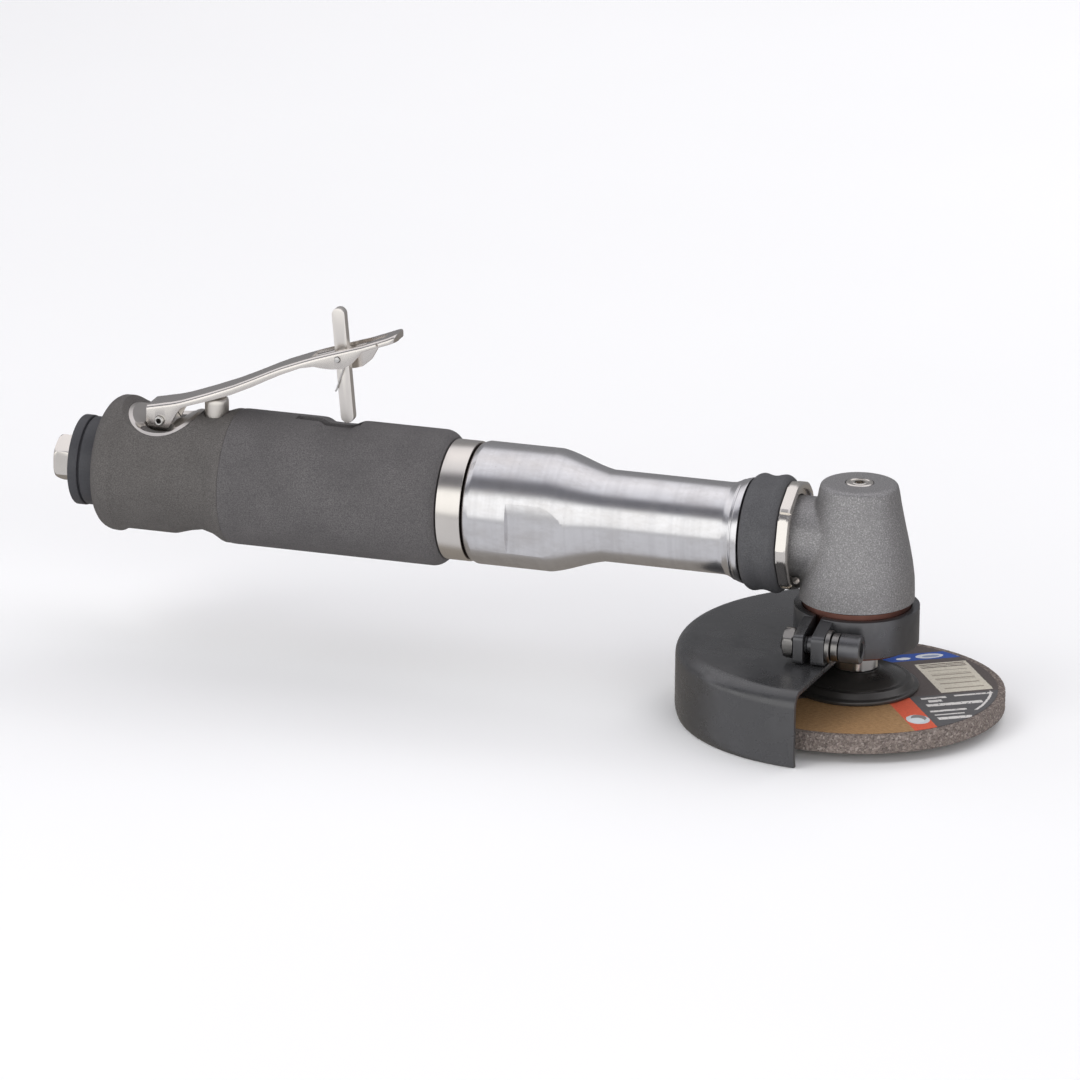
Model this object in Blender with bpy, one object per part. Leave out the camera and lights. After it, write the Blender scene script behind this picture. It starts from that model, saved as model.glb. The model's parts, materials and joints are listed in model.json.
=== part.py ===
"""Pneumatic extension angle grinder with a lever throttle and a 4 inch depressed-centre wheel.

Lengths are stated in millimetres and scaled to metres when a mesh is made. The origin is the
spindle's nose, +Z runs up the spindle, and the handle runs towards -X at height TOOL_Z.
"""

import math

import bmesh
import bpy
from mathutils import Matrix, Vector

MM = 0.001
TOOL_Z = 56.7  # height of the tool axis above the spindle's nose
ROUND = 28  # facets of the large round pieces
FINE = 16  # facets of the small round pieces
TINY = 8  # facets of pins and screws
SHARP_ANGLE = 35  # edges turning by more degrees than this stay sharp

WHEEL_R = 51.0
WHEEL_BOTTOM = -1.0
WHEEL_TOP = 5.35
GUARD_R = 61.0
GUARD_SHEET = 2.0
CAP_R = 18.4  # neck that the guard's collar clamps
COLLAR_R = 21.3
BOLT_Y = -27.5
BOLT_Z = 28.2
BOLT_R = 2.9
BOLT_BORE = 3.2
GRIP_R = 23.4
BARREL_R = 21.1
NECK_R = 15.7
FLAT_HALF = 19.0  # half of the distance across the wrench flats
FLAT_TURN = -6.6  # the flats' tilt about the tool axis, in degrees

LEVER_PIN = (-247.3, 0.0, 75.7)
TAB_PIN = (-183.1, 0.0, 104.0)
PIN_R = 1.6
PIN_BORE = 1.75
TAB_PIN_R = 1.0
TAB_BORE = 1.15
LEVER_HALF = 6.25
LEVER_SHEET = 1.2
LEVER_BEND = 0.7  # chamfer that stands for the outside of the bend
BUTTON_X = -228.7

GEAR_TEETH = 18
PINION_TEETH = 12
GEAR_PITCH_R = 12.0
PINION_PITCH_R = 8.0
TOOTH_TOP = 0.9
TOOTH_ROOT = 1.5
INNER_SCALE = 0.66  # small end of the teeth, measured from the cone's apex

ROTOR_R = 11.7
VANES = 4
CYLINDER_BORE = 13.4
CYLINDER_OFFSET = 1.3

for old in list(bpy.data.objects):
    bpy.data.objects.remove(old, do_unlink=True)


def material(name, colour, roughness, metallic):
    made = bpy.data.materials.new(name)
    made.use_nodes = True
    shader = made.node_tree.nodes["Principled BSDF"]
    shader.inputs["Base Color"].default_value = (*colour, 1.0)
    shader.inputs["Roughness"].default_value = roughness
    shader.inputs["Metallic"].default_value = metallic
    return made


LOOKS = {
    "rubber": ((0.09, 0.09, 0.095), 0.75, 0.0),
    "steel": ((0.62, 0.62, 0.64), 0.28, 1.0),
    "nickel": ((0.72, 0.68, 0.62), 0.25, 1.0),
    "aluminium": ((0.66, 0.67, 0.69), 0.4, 1.0),
    "head": ((0.2, 0.2, 0.205), 0.55, 0.7),
    "black": ((0.02, 0.02, 0.022), 0.4, 0.2),
    "bronze": ((0.55, 0.3, 0.2), 0.4, 1.0),
    "wheel": ((0.13, 0.115, 0.11), 0.9, 0.0),
    "vane": ((0.3, 0.2, 0.1), 0.7, 0.0),
}


def finish(mesh, name, look, origin):
    """Makes one object of a bmesh in millimetres, its own origin at the point given."""
    bmesh.ops.recalc_face_normals(mesh, faces=mesh.faces)
    shift = Matrix.Translation(-Vector(origin))
    bmesh.ops.transform(mesh, matrix=Matrix.Scale(MM, 4) @ shift, verts=mesh.verts)
    data = bpy.data.meshes.new(name)
    mesh.to_mesh(data)
    mesh.free()
    made = bpy.data.objects.new(name, data)
    bpy.context.scene.collection.objects.link(made)
    made.location = Vector(origin) * MM
    if look:
        data.materials.append(material(name + "_finish", *LOOKS[look]))
    data.shade_smooth()
    data.set_sharp_from_angle(angle=math.radians(SHARP_ANGLE))
    return made


def loft(name, loops, look, ring=False, origin=(0, 0, 0)):
    """Joins loops of equal length, and closes them with end faces or, for a ring, end to end."""
    mesh = bmesh.new()
    rows = [[mesh.verts.new(p) for p in loop] for loop in loops]
    count = len(rows[0])
    pairs = list(zip(rows, rows[1:]))
    if ring:
        pairs.append((rows[-1], rows[0]))
    else:
        mesh.faces.new(rows[0])
        mesh.faces.new(rows[-1])
    for a, b in pairs:
        for i in range(count):
            j = (i + 1) % count
            mesh.faces.new((a[i], a[j], b[j], b[i]))
    return finish(mesh, name, look, origin)


def circle(radius, count):
    return [
        (radius * math.cos(2 * math.pi * i / count), radius * math.sin(2 * math.pi * i / count))
        for i in range(count)
    ]


def polygon(apothem, sides, count, clip=None):
    """A regular polygon sampled at equal angles, its corners cut back to the clip radius."""
    points = []
    for i in range(count):
        angle = 2 * math.pi * i / count
        off = (angle + math.pi / sides) % (2 * math.pi / sides) - math.pi / sides
        r = apothem / math.cos(off)
        r = min(r, clip) if clip else r
        points.append((r * math.cos(angle), r * math.sin(angle)))
    return points


def along_x(x, flat, lift=0.0):
    return [(x, a, TOOL_Z + lift + b) for a, b in flat]


def along_z(z, flat):
    return [(a, b, z) for a, b in flat]


def ring_x(name, profile, look, count=ROUND):
    """A ring about the tool axis from (x, radius) points that go round its section."""
    return loft(name, [along_x(x, circle(r, count)) for x, r in profile], look, ring=True)


def rod_x(name, profile, look, count=FINE):
    return loft(name, [along_x(x, circle(r, count)) for x, r in profile], look)


def ring_z(name, profile, look, count=ROUND):
    """A ring about the spindle's axis from (radius, z) points."""
    return loft(name, [along_z(z, circle(r, count)) for r, z in profile], look, ring=True)


def cylinder_y(name, centre, radius, low, high, look=None, count=FINE):
    loops = [[(centre[0] + a, y, centre[2] + b) for a, b in circle(radius, count)] for y in (low, high)]
    return loft(name, loops, look)


def plate_y(name, outline, low, high, look=None, **more):
    """An (x, z) outline extruded along Y."""
    return loft(name, [[(x, y, z) for x, z in outline] for y in (low, high)], look, **more)


def box(name, low, high):
    xs, ys, zs = zip(low, high)
    outline = [(xs[0], zs[0]), (xs[1], zs[0]), (xs[1], zs[1]), (xs[0], zs[1])]
    return plate_y(name, outline, ys[0], ys[1])


def arc(cx, cy, radius, start, end, count):
    """Points on an arc, in degrees."""
    angles = [math.radians(start + (end - start) * i / (count - 1)) for i in range(count)]
    return [(cx + radius * math.cos(a), cy + radius * math.sin(a)) for a in angles]


def cut(target, cutter, operation="DIFFERENCE"):
    """Adds a Boolean, and keeps its helper out of the render."""
    cutter.hide_render = True
    cutter.display_type = "WIRE"
    modifier = target.modifiers.new(cutter.name, "BOOLEAN")
    modifier.operation = operation
    modifier.solver = "EXACT"
    modifier.object = cutter


def tube(name, path, radius, look, sides=5, origin=(0, 0, 0)):
    """A round wire along a path."""
    path = [Vector(p) for p in path]
    loops = []
    side = None
    for i, point in enumerate(path):
        way = (path[min(i + 1, len(path) - 1)] - path[max(i - 1, 0)]).normalized()
        if side is None:
            side = way.orthogonal().normalized()
        side = (side - way * side.dot(way)).normalized()
        up = way.cross(side)
        loops.append([tuple(point + radius * (a * side + b * up)) for a, b in circle(1.0, sides)])
    return loft(name, loops, look, origin=origin)


# ---------------------------------------------------------------- handle, fixed pieces

bushing = [
    along_x(-286.0, polygon(7.0, 6, FINE, 7.6)),
    along_x(-285.2, polygon(7.15, 6, FINE, 8.25)),
    along_x(-278.3, polygon(7.15, 6, FINE, 8.25)),
    along_x(-278.3, circle(6.6, FINE)),
    along_x(-258.0, circle(6.6, FINE)),
    along_x(-258.0, circle(3.6, FINE)),
    along_x(-274.0, circle(4.4, FINE)),
    along_x(-285.6, circle(5.3, FINE)),
    along_x(-286.0, circle(5.7, FINE)),
]
loft("inlet_bushing", bushing, "nickel", ring=True)

EXHAUST = [(-278.0, 7.0), (-278.0, 15.1), (-277.5, 15.6), (-274.6, 15.6), (-274.2, 14.8)]
EXHAUST += [(-273.8, 15.2), (-268.3, 15.2), (-268.3, 7.0)]
exhaust = ring_x("exhaust_ring", EXHAUST, "black")
for i in range(8):
    around = math.radians(45 * i + 22.5)
    hole = rod_x("exhaust_hole_%d" % i, [(-280, 1.4), (-266, 1.4)], None, TINY)
    hole.location = Vector((0, 11.3 * math.cos(around), 11.3 * math.sin(around))) * MM
    cut(exhaust, hole)

VALVE_BODY = [(-267.9, 6.9), (-267.9, 17.2), (-267.0, 17.6), (-223.0, 17.6)]
VALVE_BODY += [(-223.0, 4.0), (-256.0, 4.0), (-257.0, 6.9)]
valve_body = ring_x("valve_body", VALVE_BODY, "aluminium")
pin_x, _, pin_z = LEVER_PIN
LUG_R = 2.55
LUG_HALF = 4.7
lug_outline = [(-257.0, 66.0), (-257.0, 73.0), (-252.0, 73.4)]
lug_outline += arc(pin_x, pin_z, LUG_R, 190, -10, 9)
lug_outline += [(-242.8, 73.4), (-238.0, 73.0), (-238.0, 66.0)]
cut(valve_body, plate_y("lever_lug", lug_outline, -LUG_HALF, LUG_HALF), "UNION")
cut(valve_body, cylinder_y("lug_bore", LEVER_PIN, PIN_BORE, -9, 9))
BUTTON_BORE = 4.4
STEM_BORE = 2.6
SPRING_SEAT = TOOL_Z + 8.0
cut(valve_body, loft(
    "button_bore", [along_z(z, circle(BUTTON_BORE, FINE)) for z in (SPRING_SEAT, TOOL_Z + 30)], None
))
bpy.data.objects["button_bore"].location.x = BUTTON_X * MM
cut(valve_body, loft(
    "stem_bore", [along_z(z, circle(STEM_BORE, FINE)) for z in (TOOL_Z, SPRING_SEAT + 2)], None
))
bpy.data.objects["stem_bore"].location.x = BUTTON_X * MM


def grip_loops(stations, count, spread, power):
    """Loops whose radius goes from the underside's to the crown's, over an angle set by spread."""
    loops = []
    for x, under, crown in stations:
        loop = []
        for i in range(count):
            angle = 2 * math.pi * i / count
            share = max(0.0, math.sin(angle) * (1 + spread) - spread)
            share = min(1.0, share) ** power
            r = under + (crown - under) * share
            loop.append((x, r * math.cos(angle), TOOL_Z + r * math.sin(angle)))
        loops.append(loop)
    return loops


# x, radius below, radius at the crown
REAR_STATIONS = [
    (-268.7, 16.0, 16.0),
    (-268.4, 18.6, 18.7),
    (-267.5, 20.6, 20.8),
    (-266.1, 22.1, 22.7),
    (-264.0, 23.0, 23.9),
    (-261.0, 23.2, 24.0),
    (-259.6, 22.2, 23.8),
    (-258.0, 22.0, 23.2),
    (-241.3, 22.0, 22.0),
    (-236.2, 20.5, 21.8),
    (-231.6, 19.7, 21.6),
    (-227.0, 20.9, 21.6),
    (-222.6, 23.1, 23.1),
    (-221.0, 23.2, 23.2),
    (-221.0, 18.0, 18.0),
    (-268.1, 18.0, 18.0),
    (-268.1, 16.0, 16.0),
]
rear_grip = loft("rear_grip", grip_loops(REAR_STATIONS, ROUND, 0.0, 1.5), "rubber", ring=True)
POCKET_X = -246.8
POCKET_Z = 89.6
POCKET_R = 16.0
LINING = 1.0  # wall of the valve body that lines the pocket
LINING_R = 21.3
EAR_ROOM_R = 5.4
EAR_ROOM_HALF = 7.6
EAR_ROOM_END = 14.5  # the floor has risen to the pocket's here


def pocket_line(radius):
    """The lower half of a circle about the pocket's centre, from left to right."""
    return arc(POCKET_X, POCKET_Z, radius, -160, -20, 17)


def open_upwards(line, height=40):
    return line + [(line[-1][0], TOOL_Z + height), (line[0][0], TOOL_Z + height)]


saddle = ring_x("pocket_lining", [(-264.0, 12.0), (-264.0, LINING_R), (-230.0, LINING_R), (-230.0, 12.0)], None)
lining = pocket_line(POCKET_R + LINING) + pocket_line(POCKET_R)[::-1]
cut(saddle, plate_y("lining_strip", lining, -30, 30), "INTERSECT")
cut(valve_body, saddle, "UNION")
narrow = open_upwards(arc(pin_x, pin_z, EAR_ROOM_R, -180, 0, 17), 33)
wide = open_upwards(pocket_line(POCKET_R - 0.3), 36)
for side, way in (("near", -1), ("far", 1)):
    cut(valve_body, plate_y("pocket_" + side, open_upwards(pocket_line(POCKET_R)), way * 5.1, way * 30))
    room = [(LUG_HALF + 0.02, narrow), (EAR_ROOM_HALF, narrow), (EAR_ROOM_END, wide), (20.0, wide)]
    cut(valve_body, loft("ear_room_" + side, [[(x, way * y, z) for x, z in line] for y, line in room], None))
cut(rear_grip, plate_y("lever_pocket", open_upwards(pocket_line(POCKET_R + LINING + 0.2)), -30, 30))
cut(rear_grip, loft(
    "grip_button_hole", [along_z(z, circle(BUTTON_BORE + 0.2, FINE)) for z in (TOOL_Z + 12, TOOL_Z + 30)], None
))
bpy.data.objects["grip_button_hole"].location.x = BUTTON_X * MM

MAIN_STATIONS = [
    (-220.7, 19.5, 19.5),
    (-220.7, 23.2, 23.2),
    (-219.6, GRIP_R, GRIP_R),
    (-190.9, GRIP_R, GRIP_R),
    (-188.8, GRIP_R, 22.0),
    (-179.3, GRIP_R, 22.0),
    (-176.8, GRIP_R, GRIP_R),
    (-147.2, GRIP_R, GRIP_R),
    (-144.8, 22.5, 22.5),
    (-143.7, 21.0, 21.0),
    (-143.7, 19.5, 19.5),
]
main_grip = loft("main_grip", grip_loops(MAIN_STATIONS, 32, 1.2, 0.5), "rubber", ring=True)
cut(main_grip, box("tab_groove", (-199.6, -1.95, TOOL_Z + 20.8), (-176.2, 1.95, TOOL_Z + 30)))

ring_x(
    "motor_housing",
    [(-220.6, 16.6), (-220.6, 19.2), (-143.9, 19.2), (-143.9, 16.6)],
    "aluminium",
)
liner = [along_x(x, circle(16.2, ROUND)) for x in (-204.9, -160.1)]
liner += [along_x(x, circle(CYLINDER_BORE, ROUND), -CYLINDER_OFFSET) for x in (-160.1, -204.9)]
loft("motor_cylinder", liner, "steel", ring=True)
for name, face, way in (("rear_end_plate", -205.2, -1), ("front_end_plate", -159.8, 1)):
    steps = [(0, 4.6), (0, 16.2), (3.6, 16.2), (3.6, 14.0), (10.4, 14.0), (10.4, 11.3), (3.6, 11.3), (3.6, 4.6)]
    ring_x(name, [(face + way * a, r) for a, r in steps], "steel", FINE)


def bearing_profile(low, high, inner, outer):
    """Section of a shielded ball bearing: two races with a shallow shield between them."""
    wall = (outer - inner) * 0.25
    sunk = 0.35
    near = [(low, inner), (low, inner + wall), (low + sunk, inner + wall), (low + sunk, outer - wall)]
    near += [(low, outer - wall), (low, outer)]
    far = [(high, outer), (high, outer - wall), (high - sunk, outer - wall), (high - sunk, inner + wall)]
    far += [(high, inner + wall), (high, inner)]
    return near + far


ring_x("rear_bearing", bearing_profile(-215.6, -209.1, 4.3, 11.0), "steel", FINE)
ring_x("front_bearing", bearing_profile(-155.9, -149.4, 4.3, 11.0), "steel", FINE)

ring_x(
    "lock_ring",
    [(-143.3, 16.9), (-143.3, 20.4), (-142.9, 20.65), (-135.1, 20.65), (-134.7, 20.4), (-134.7, 16.9)],
    "nickel",
)
EXTENSION = [
    (-142.6, 14.0),
    (-142.6, 16.6),
    (-134.4, 16.6),
    (-134.4, 19.6),
    (-133.4, 20.4),
    (-131.7, BARREL_R),
    (-106.0, BARREL_R),
    (-98.2, 18.6),
    (-94.2, 17.0),
    (-90.4, 15.9),
    (-86.0, NECK_R),
    (-45.0, NECK_R),
    (-40.6, 17.0),
    (-37.8, 18.1),
    (-37.5, 14.6),
    (-24.6, 14.6),
    (-24.6, 10.5),
    (-100.0, 10.5),
    (-106.0, 14.0),
]
extension = ring_x("extension_housing", EXTENSION, "steel", 32)
for side, low, high in (("near", -30.0, -FLAT_HALF), ("far", FLAT_HALF, 30.0)):
    flat = box("flat_" + side, (-118.5, low, -20), (-94.0, high, 20))
    flat.location.z = TOOL_Z * MM
    flat.rotation_euler.x = math.radians(-FLAT_TURN)
    cut(extension, flat)

ring_x("extension_bearing", bearing_profile(-53.0, -46.0, 4.4, 10.2), "steel", FINE)
BOOT = [
    (-37.2, 14.9),
    (-37.2, 18.4),
    (-36.2, 19.4),
    (-34.5, 20.0),
    (-32.8, 19.6),
    (-31.0, 19.4),
    (-29.0, 19.7),
    (-26.9, 20.2),
    (-25.2, 19.6),
    (-24.3, 18.6),
    (-24.3, 14.9),
]
ring_x("boot_ring", BOOT, "rubber")
nut = [
    along_x(-24.0, circle(14.3, ROUND)),
    along_x(-24.0, polygon(17.9, 8, ROUND, 18.5)),
    along_x(-23.4, polygon(18.2, 8, ROUND, 18.9)),
    along_x(-20.5, polygon(18.2, 8, ROUND, 18.9)),
    along_x(-19.9, polygon(17.6, 8, ROUND, 18.2)),
    along_x(-19.9, circle(16.2, ROUND)),
    along_x(-21.2, circle(15.6, ROUND)),
    along_x(-21.2, circle(14.3, ROUND)),
]
loft("coupling_nut", nut, "nickel", ring=True)

# ---------------------------------------------------------------- gear head

CONE = [(37.3, 19.5), (45.0, 19.3), (50.2, 18.6), (56.0, 17.5), (62.3, 16.1), (70.0, 14.5), (75.2, 13.6)]
CONE += [(76.6, 12.9), (77.5, 12.0), (77.8, 11.0)]
head = loft("gearhead_housing", [along_z(z, circle(r, ROUND)) for z, r in CONE], "head")
cut(head, rod_x("head_boss", [(-24.2, 13.9), (-2.0, 13.9)], None, ROUND), "UNION")
GEAR_ROOM = [(36.0, 13.5), (57.0, 13.5), (61.5, 9.4), (61.5, 7.3), (72.0, 7.3), (72.0, 2.7), (76.2, 2.7)]
GEAR_ROOM += [(76.2, 4.95), (80.0, 4.95)]
cut(head, loft("gear_room", [along_z(z, circle(r, FINE)) for z, r in GEAR_ROOM], None))
cut(head, rod_x("pinion_room", [(-26.0, 10.5), (-3.0, 10.5)], None, FINE))
ring_x("pinion_bearing", bearing_profile(-23.9, -18.4, 4.4, 10.2), "steel", FINE)

plug = [
    along_z(73.0, circle(2.4, FINE)),
    along_z(76.5, circle(2.4, FINE)),
    along_z(76.5, circle(4.7, FINE)),
    along_z(77.7, circle(4.7, FINE)),
    along_z(78.1, circle(4.3, FINE)),
    along_z(78.1, polygon(1.9, 6, FINE)),
    along_z(75.5, polygon(1.9, 6, FINE)),
]
loft("cap_plug", plug, "nickel")

ring_z("upper_bearing", [(3.3, 62.4), (7.0, 62.4), (7.0, 71.4), (3.3, 71.4)], "steel", FINE)
ring_z(
    "bearing_cap",
    [(9.2, 20.6), (17.8, 20.6), (CAP_R, 21.2), (CAP_R, 36.9), (11.4, 36.9), (11.4, 23.4), (9.2, 23.4)],
    "bronze",
)
lower = bearing_profile(23.7, 33.0, 5.35, 11.1)
ring_z("lower_bearing", [(r, z) for z, r in lower], "steel", FINE)
ring_z("spindle_seal", [(5.45, 20.9), (8.9, 20.9), (8.9, 23.1), (5.45, 23.1)], "rubber", FINE)

# ---------------------------------------------------------------- spindle and wheel

spindle = [
    along_z(0.0, circle(4.2, FINE)),
    along_z(0.6, circle(4.75, FINE)),
    along_z(13.0, circle(4.75, FINE)),
    along_z(13.0, polygon(7.2, 6, FINE, 8.1)),
    along_z(20.3, polygon(7.2, 6, FINE, 8.1)),
    along_z(20.3, circle(5.1, FINE)),
    along_z(48.6, circle(5.1, FINE)),
    along_z(49.4, circle(4.0, FINE)),
    along_z(60.0, circle(3.0, FINE)),
    along_z(71.0, circle(3.0, FINE)),
]
loft("spindle", spindle, "steel")
FLANGE = [
    (5.05, 4.4),
    (5.05, 12.7),
    (8.5, 12.7),
    (10.2, 12.2),
    (16.0, 10.0),
    (20.2, 7.4),
    (21.7, 6.4),
    (21.7, 5.7),
    (20.9, 5.7),
    (18.9, 9.3),
    (7.7, 9.3),
    (7.7, 4.4),
]
ring_z("backing_flange", FLANGE, "black")
WHEEL = [
    (8.0, 4.2),
    (19.4, 4.2),
    (22.4, WHEEL_BOTTOM),
    (WHEEL_R, WHEEL_BOTTOM),
    (WHEEL_R, WHEEL_TOP),
    (20.2, WHEEL_TOP),
    (18.2, 9.0),
    (8.0, 9.0),
]
ring_z("grinding_wheel", WHEEL, "wheel", 40)
locknut = ring_z(
    "flange_nut",
    [(5.05, 0.4), (9.6, 0.4), (10.0, 0.8), (10.0, 1.9), (14.4, 1.9), (14.8, 2.3), (14.8, 3.9), (5.05, 3.9)],
    "steel",
)
for side in (-1, 1):
    hole = loft("spanner_hole_%d" % side, [along_z(z, circle(1.3, TINY)) for z in (-2.0, 1.6)], None)
    hole.location.x = side * 7.4 * MM
    cut(locknut, hole)


def bevel_wheel(name, teeth, pitch_r, apex_gap, bore, hub_r, hub_end, phase, place, look):
    """A straight bevel gear. apex_gap is the axial distance from the cone's apex to the pitch circle."""
    tilt = math.atan2(pitch_r, apex_gap)
    module = 2 * pitch_r / teeth
    pitch = 2 * math.pi / teeth
    root, tip = 0.40 * module * math.pi, 0.16 * module * math.pi
    spots = ((-root, -TOOTH_ROOT), (-tip, TOOTH_TOP), (tip, TOOTH_TOP), (root, -TOOTH_ROOT))

    def toothed(scale):
        loop = []
        for i in range(teeth):
            for across, rise in spots:
                r = pitch_r + rise * math.cos(tilt)
                angle = phase + i * pitch + across * 0.8 / pitch_r
                depth = apex_gap - rise * math.sin(tilt)
                loop.append((scale * r * math.cos(angle), scale * r * math.sin(angle), scale * depth))
        return loop

    def plain(radius, depth):
        return [
            (radius * math.cos(math.atan2(y, x)), radius * math.sin(math.atan2(y, x)), depth)
            for x, y, _ in toothed(1.0)
        ]

    small = min(p[2] for p in toothed(INNER_SCALE))
    loops = [plain(bore, hub_end), plain(hub_r, hub_end), toothed(1.0), toothed(INNER_SCALE)]
    loops.append(plain(bore + 0.5, small))
    loops.append(plain(bore, small))
    return loft(name, [[place(*p) for p in loop] for loop in loops], look, ring=True)


bevel_wheel(
    "bevel_gear", GEAR_TEETH, GEAR_PITCH_R, PINION_PITCH_R, 5.4, 10.2, 16.5,
    math.pi / GEAR_TEETH, lambda a, b, d: (a, b, TOOL_Z - d), "steel",
)
bevel_wheel(
    "bevel_pinion", PINION_TEETH, PINION_PITCH_R, GEAR_PITCH_R, 3.2, 6.4, 17.0,
    0.0, lambda a, b, d: (-d, b, TOOL_Z - a), "steel",
)

# ---------------------------------------------------------------- motor, turning pieces

SLOT_HALF = 1.05
SLOT_FLOOR = 6.2


def rotor_outline():
    """Circle with a radial slot for each vane."""
    points = []
    mouth = math.degrees(math.asin(SLOT_HALF / ROTOR_R))
    for i in range(VANES):
        middle = 360 / VANES * i
        turn = Matrix.Rotation(math.radians(middle), 2)
        points += [tuple(turn @ Vector((SLOT_FLOOR, s * SLOT_HALF))) for s in (-1, 1)]
        points += arc(0, 0, ROTOR_R, middle + mouth, middle + 360 / VANES - mouth, 8)
    return points


rotor = loft("rotor", [along_x(x, rotor_outline()) for x in (-204.5, -160.5)], "steel")
cut(rotor, rod_x("rotor_bore", [(-210, 4.3), (-150, 4.3)], None, FINE))
for i in range(VANES):
    turn = Matrix.Rotation(2 * math.pi / VANES * i, 2)
    blade = [turn @ Vector(p) for p in ((6.5, -0.75), (11.85, -0.75), (11.85, 0.75), (6.5, 0.75))]
    loft("vane_%d" % (i + 1), [along_x(x, [tuple(p) for p in blade]) for x in (-204.3, -160.7)], "vane")
rod_x("rotor_shaft", [(-217.5, 3.6), (-217.0, 4.0), (-143.2, 4.0)], "steel")
rod_x("extension_shaft", [(-142.9, 4.0), (-17.6, 4.0), (-17.6, 2.9), (-8.6, 2.9)], "steel")
ring_x("shaft_coupling", [(-148.6, 4.3), (-148.6, 7.2), (-137.6, 7.2), (-137.6, 4.3)], "steel", FINE)

# ---------------------------------------------------------------- guard and its clamp

GUARD_TOP = 21.9
GUARD_FOOT = -4.4
GUARD_START = 88.9  # degrees about the spindle, and the guard covers GUARD_SPAN from there
GUARD_SPAN = 177.0
guard_outer = [(18.9, GUARD_TOP), (38.0, GUARD_TOP)]
guard_outer += arc(GUARD_R - 5.5, GUARD_TOP - 5.5, 5.5, 90, 0, 5)
guard_outer += [(GUARD_R, 0.0), (GUARD_R - 0.9, GUARD_FOOT)]
guard_inner = [(GUARD_R - GUARD_SHEET - 0.9, GUARD_FOOT), (GUARD_R - GUARD_SHEET, 0.0)]
guard_inner += arc(GUARD_R - 5.5, GUARD_TOP - 5.5, 3.5, 0, 90, 5)
guard_inner += [(38.0, GUARD_TOP - GUARD_SHEET), (18.9, GUARD_TOP - GUARD_SHEET)]
guard_profile = guard_outer + guard_inner
GUARD_STEPS = 18
stations = []
for i in range(GUARD_STEPS + 1):
    around = math.radians(GUARD_START + GUARD_SPAN * i / GUARD_STEPS)
    stations.append([(r * math.cos(around), r * math.sin(around), z) for r, z in guard_profile])
loft("guard", stations, "black")

CLAMP_IN = 18.7
GAP_LEFT, GAP_RIGHT = -9.9, -7.0
EAR_LEFT, EAR_RIGHT = -13.2, -2.6
EAR_END = -32.3


def angle_at(x, radius):
    """Angle of the point of a circle's lower half at this x, in degrees."""
    return -math.degrees(math.acos(x / radius))


clamp_outline = arc(0, 0, CLAMP_IN, angle_at(GAP_RIGHT, CLAMP_IN), 360 + angle_at(GAP_LEFT, CLAMP_IN), 33)
clamp_outline += [(GAP_LEFT, EAR_END), (EAR_LEFT, EAR_END)]
clamp_outline += arc(0, 0, COLLAR_R, 360 + angle_at(EAR_LEFT, COLLAR_R), angle_at(EAR_RIGHT, COLLAR_R), 33)
clamp_outline += [(EAR_RIGHT, EAR_END), (GAP_RIGHT, EAR_END)]
clamp = loft("clamp_collar", [along_z(z, clamp_outline) for z in (22.2, 35.0)], "black")


def at_bolt(x, flat):
    return [(x, BOLT_Y + a, BOLT_Z + b) for a, b in flat]


cut(clamp, loft("ear_hole", [at_bolt(x, circle(BOLT_BORE, FINE)) for x in (-20, 5)], None))

bolt = [
    at_bolt(-18.4, circle(2.5, FINE)),
    at_bolt(-17.9, circle(BOLT_R, FINE)),
    at_bolt(2.3, circle(BOLT_R, FINE)),
    at_bolt(2.3, circle(4.9, FINE)),
    at_bolt(9.0, circle(4.9, FINE)),
    at_bolt(9.5, circle(4.4, FINE)),
    at_bolt(9.5, polygon(2.4, 6, FINE)),
    at_bolt(6.2, polygon(2.4, 6, FINE)),
]
loft("clamp_bolt", bolt, "black")
for name, low, high, outer in (("clamp_washer", -2.3, -0.7, 5.6), ("lock_washer", -0.4, 2.0, 4.8)):
    section = ((low, BOLT_BORE), (low, outer), (high, outer), (high, BOLT_BORE))
    loft(name, [at_bolt(x, circle(r, FINE)) for x, r in section], "black", ring=True)
nut = [at_bolt(x, polygon(4.9, 6, FINE, 5.4)) for x in (-17.0, -13.5)]
nut = [at_bolt(-13.5, circle(BOLT_BORE, FINE))] + nut[::-1] + [at_bolt(-17.0, circle(BOLT_BORE, FINE))]
loft("clamp_nut", nut, "black", ring=True)

# ---------------------------------------------------------------- throttle lever

# x, height of the web's upper face, lower edges of the near and the far side
LEVER = [
    (-252.2, 78.2, 75.3, 75.3),
    (-251.2, 78.6, 72.6, 72.6),
    (-249.4, 79.2, 71.6, 71.6),
    (-246.4, 80.2, 71.6, 71.6),
    (-244.2, 81.0, 73.0, 73.0),
    (-242.8, 81.5, 76.4, 76.4),
    (-240.8, 82.3, 79.6, 79.6),
    (-235.0, 84.4, 81.3, 81.3),
    (-230.0, 86.6, 83.5, 83.5),
    (-221.4, 90.4, 87.3, 87.3),
    (-214.0, 94.2, 91.0, 91.0),
    (-208.0, 97.2, 94.2, 94.2),
    (-203.7, 99.2, 96.4, 96.4),
    (-196.5, 102.1, 99.6, 99.6),
    (-191.7, 103.9, 100.6, 100.6),
    (-188.5, 105.0, 100.3, 100.0),
    (-185.3, 106.1, 100.3, 98.6),
    (-181.0, 107.5, 100.9, 97.9),
    (-177.7, 108.6, 103.2, 98.9),
    (-174.6, 109.6, 107.2, 101.6),
    (-171.6, 110.8, 108.6, 107.4),
    (-168.0, 112.2, 109.9, 109.9),
    (-164.4, 113.7, 111.3, 111.3),
    (-162.6, 114.4, 112.1, 112.1),
]
TIP_NARROW = {-164.4: 5.9, -162.6: 4.6}
loops = []
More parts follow.
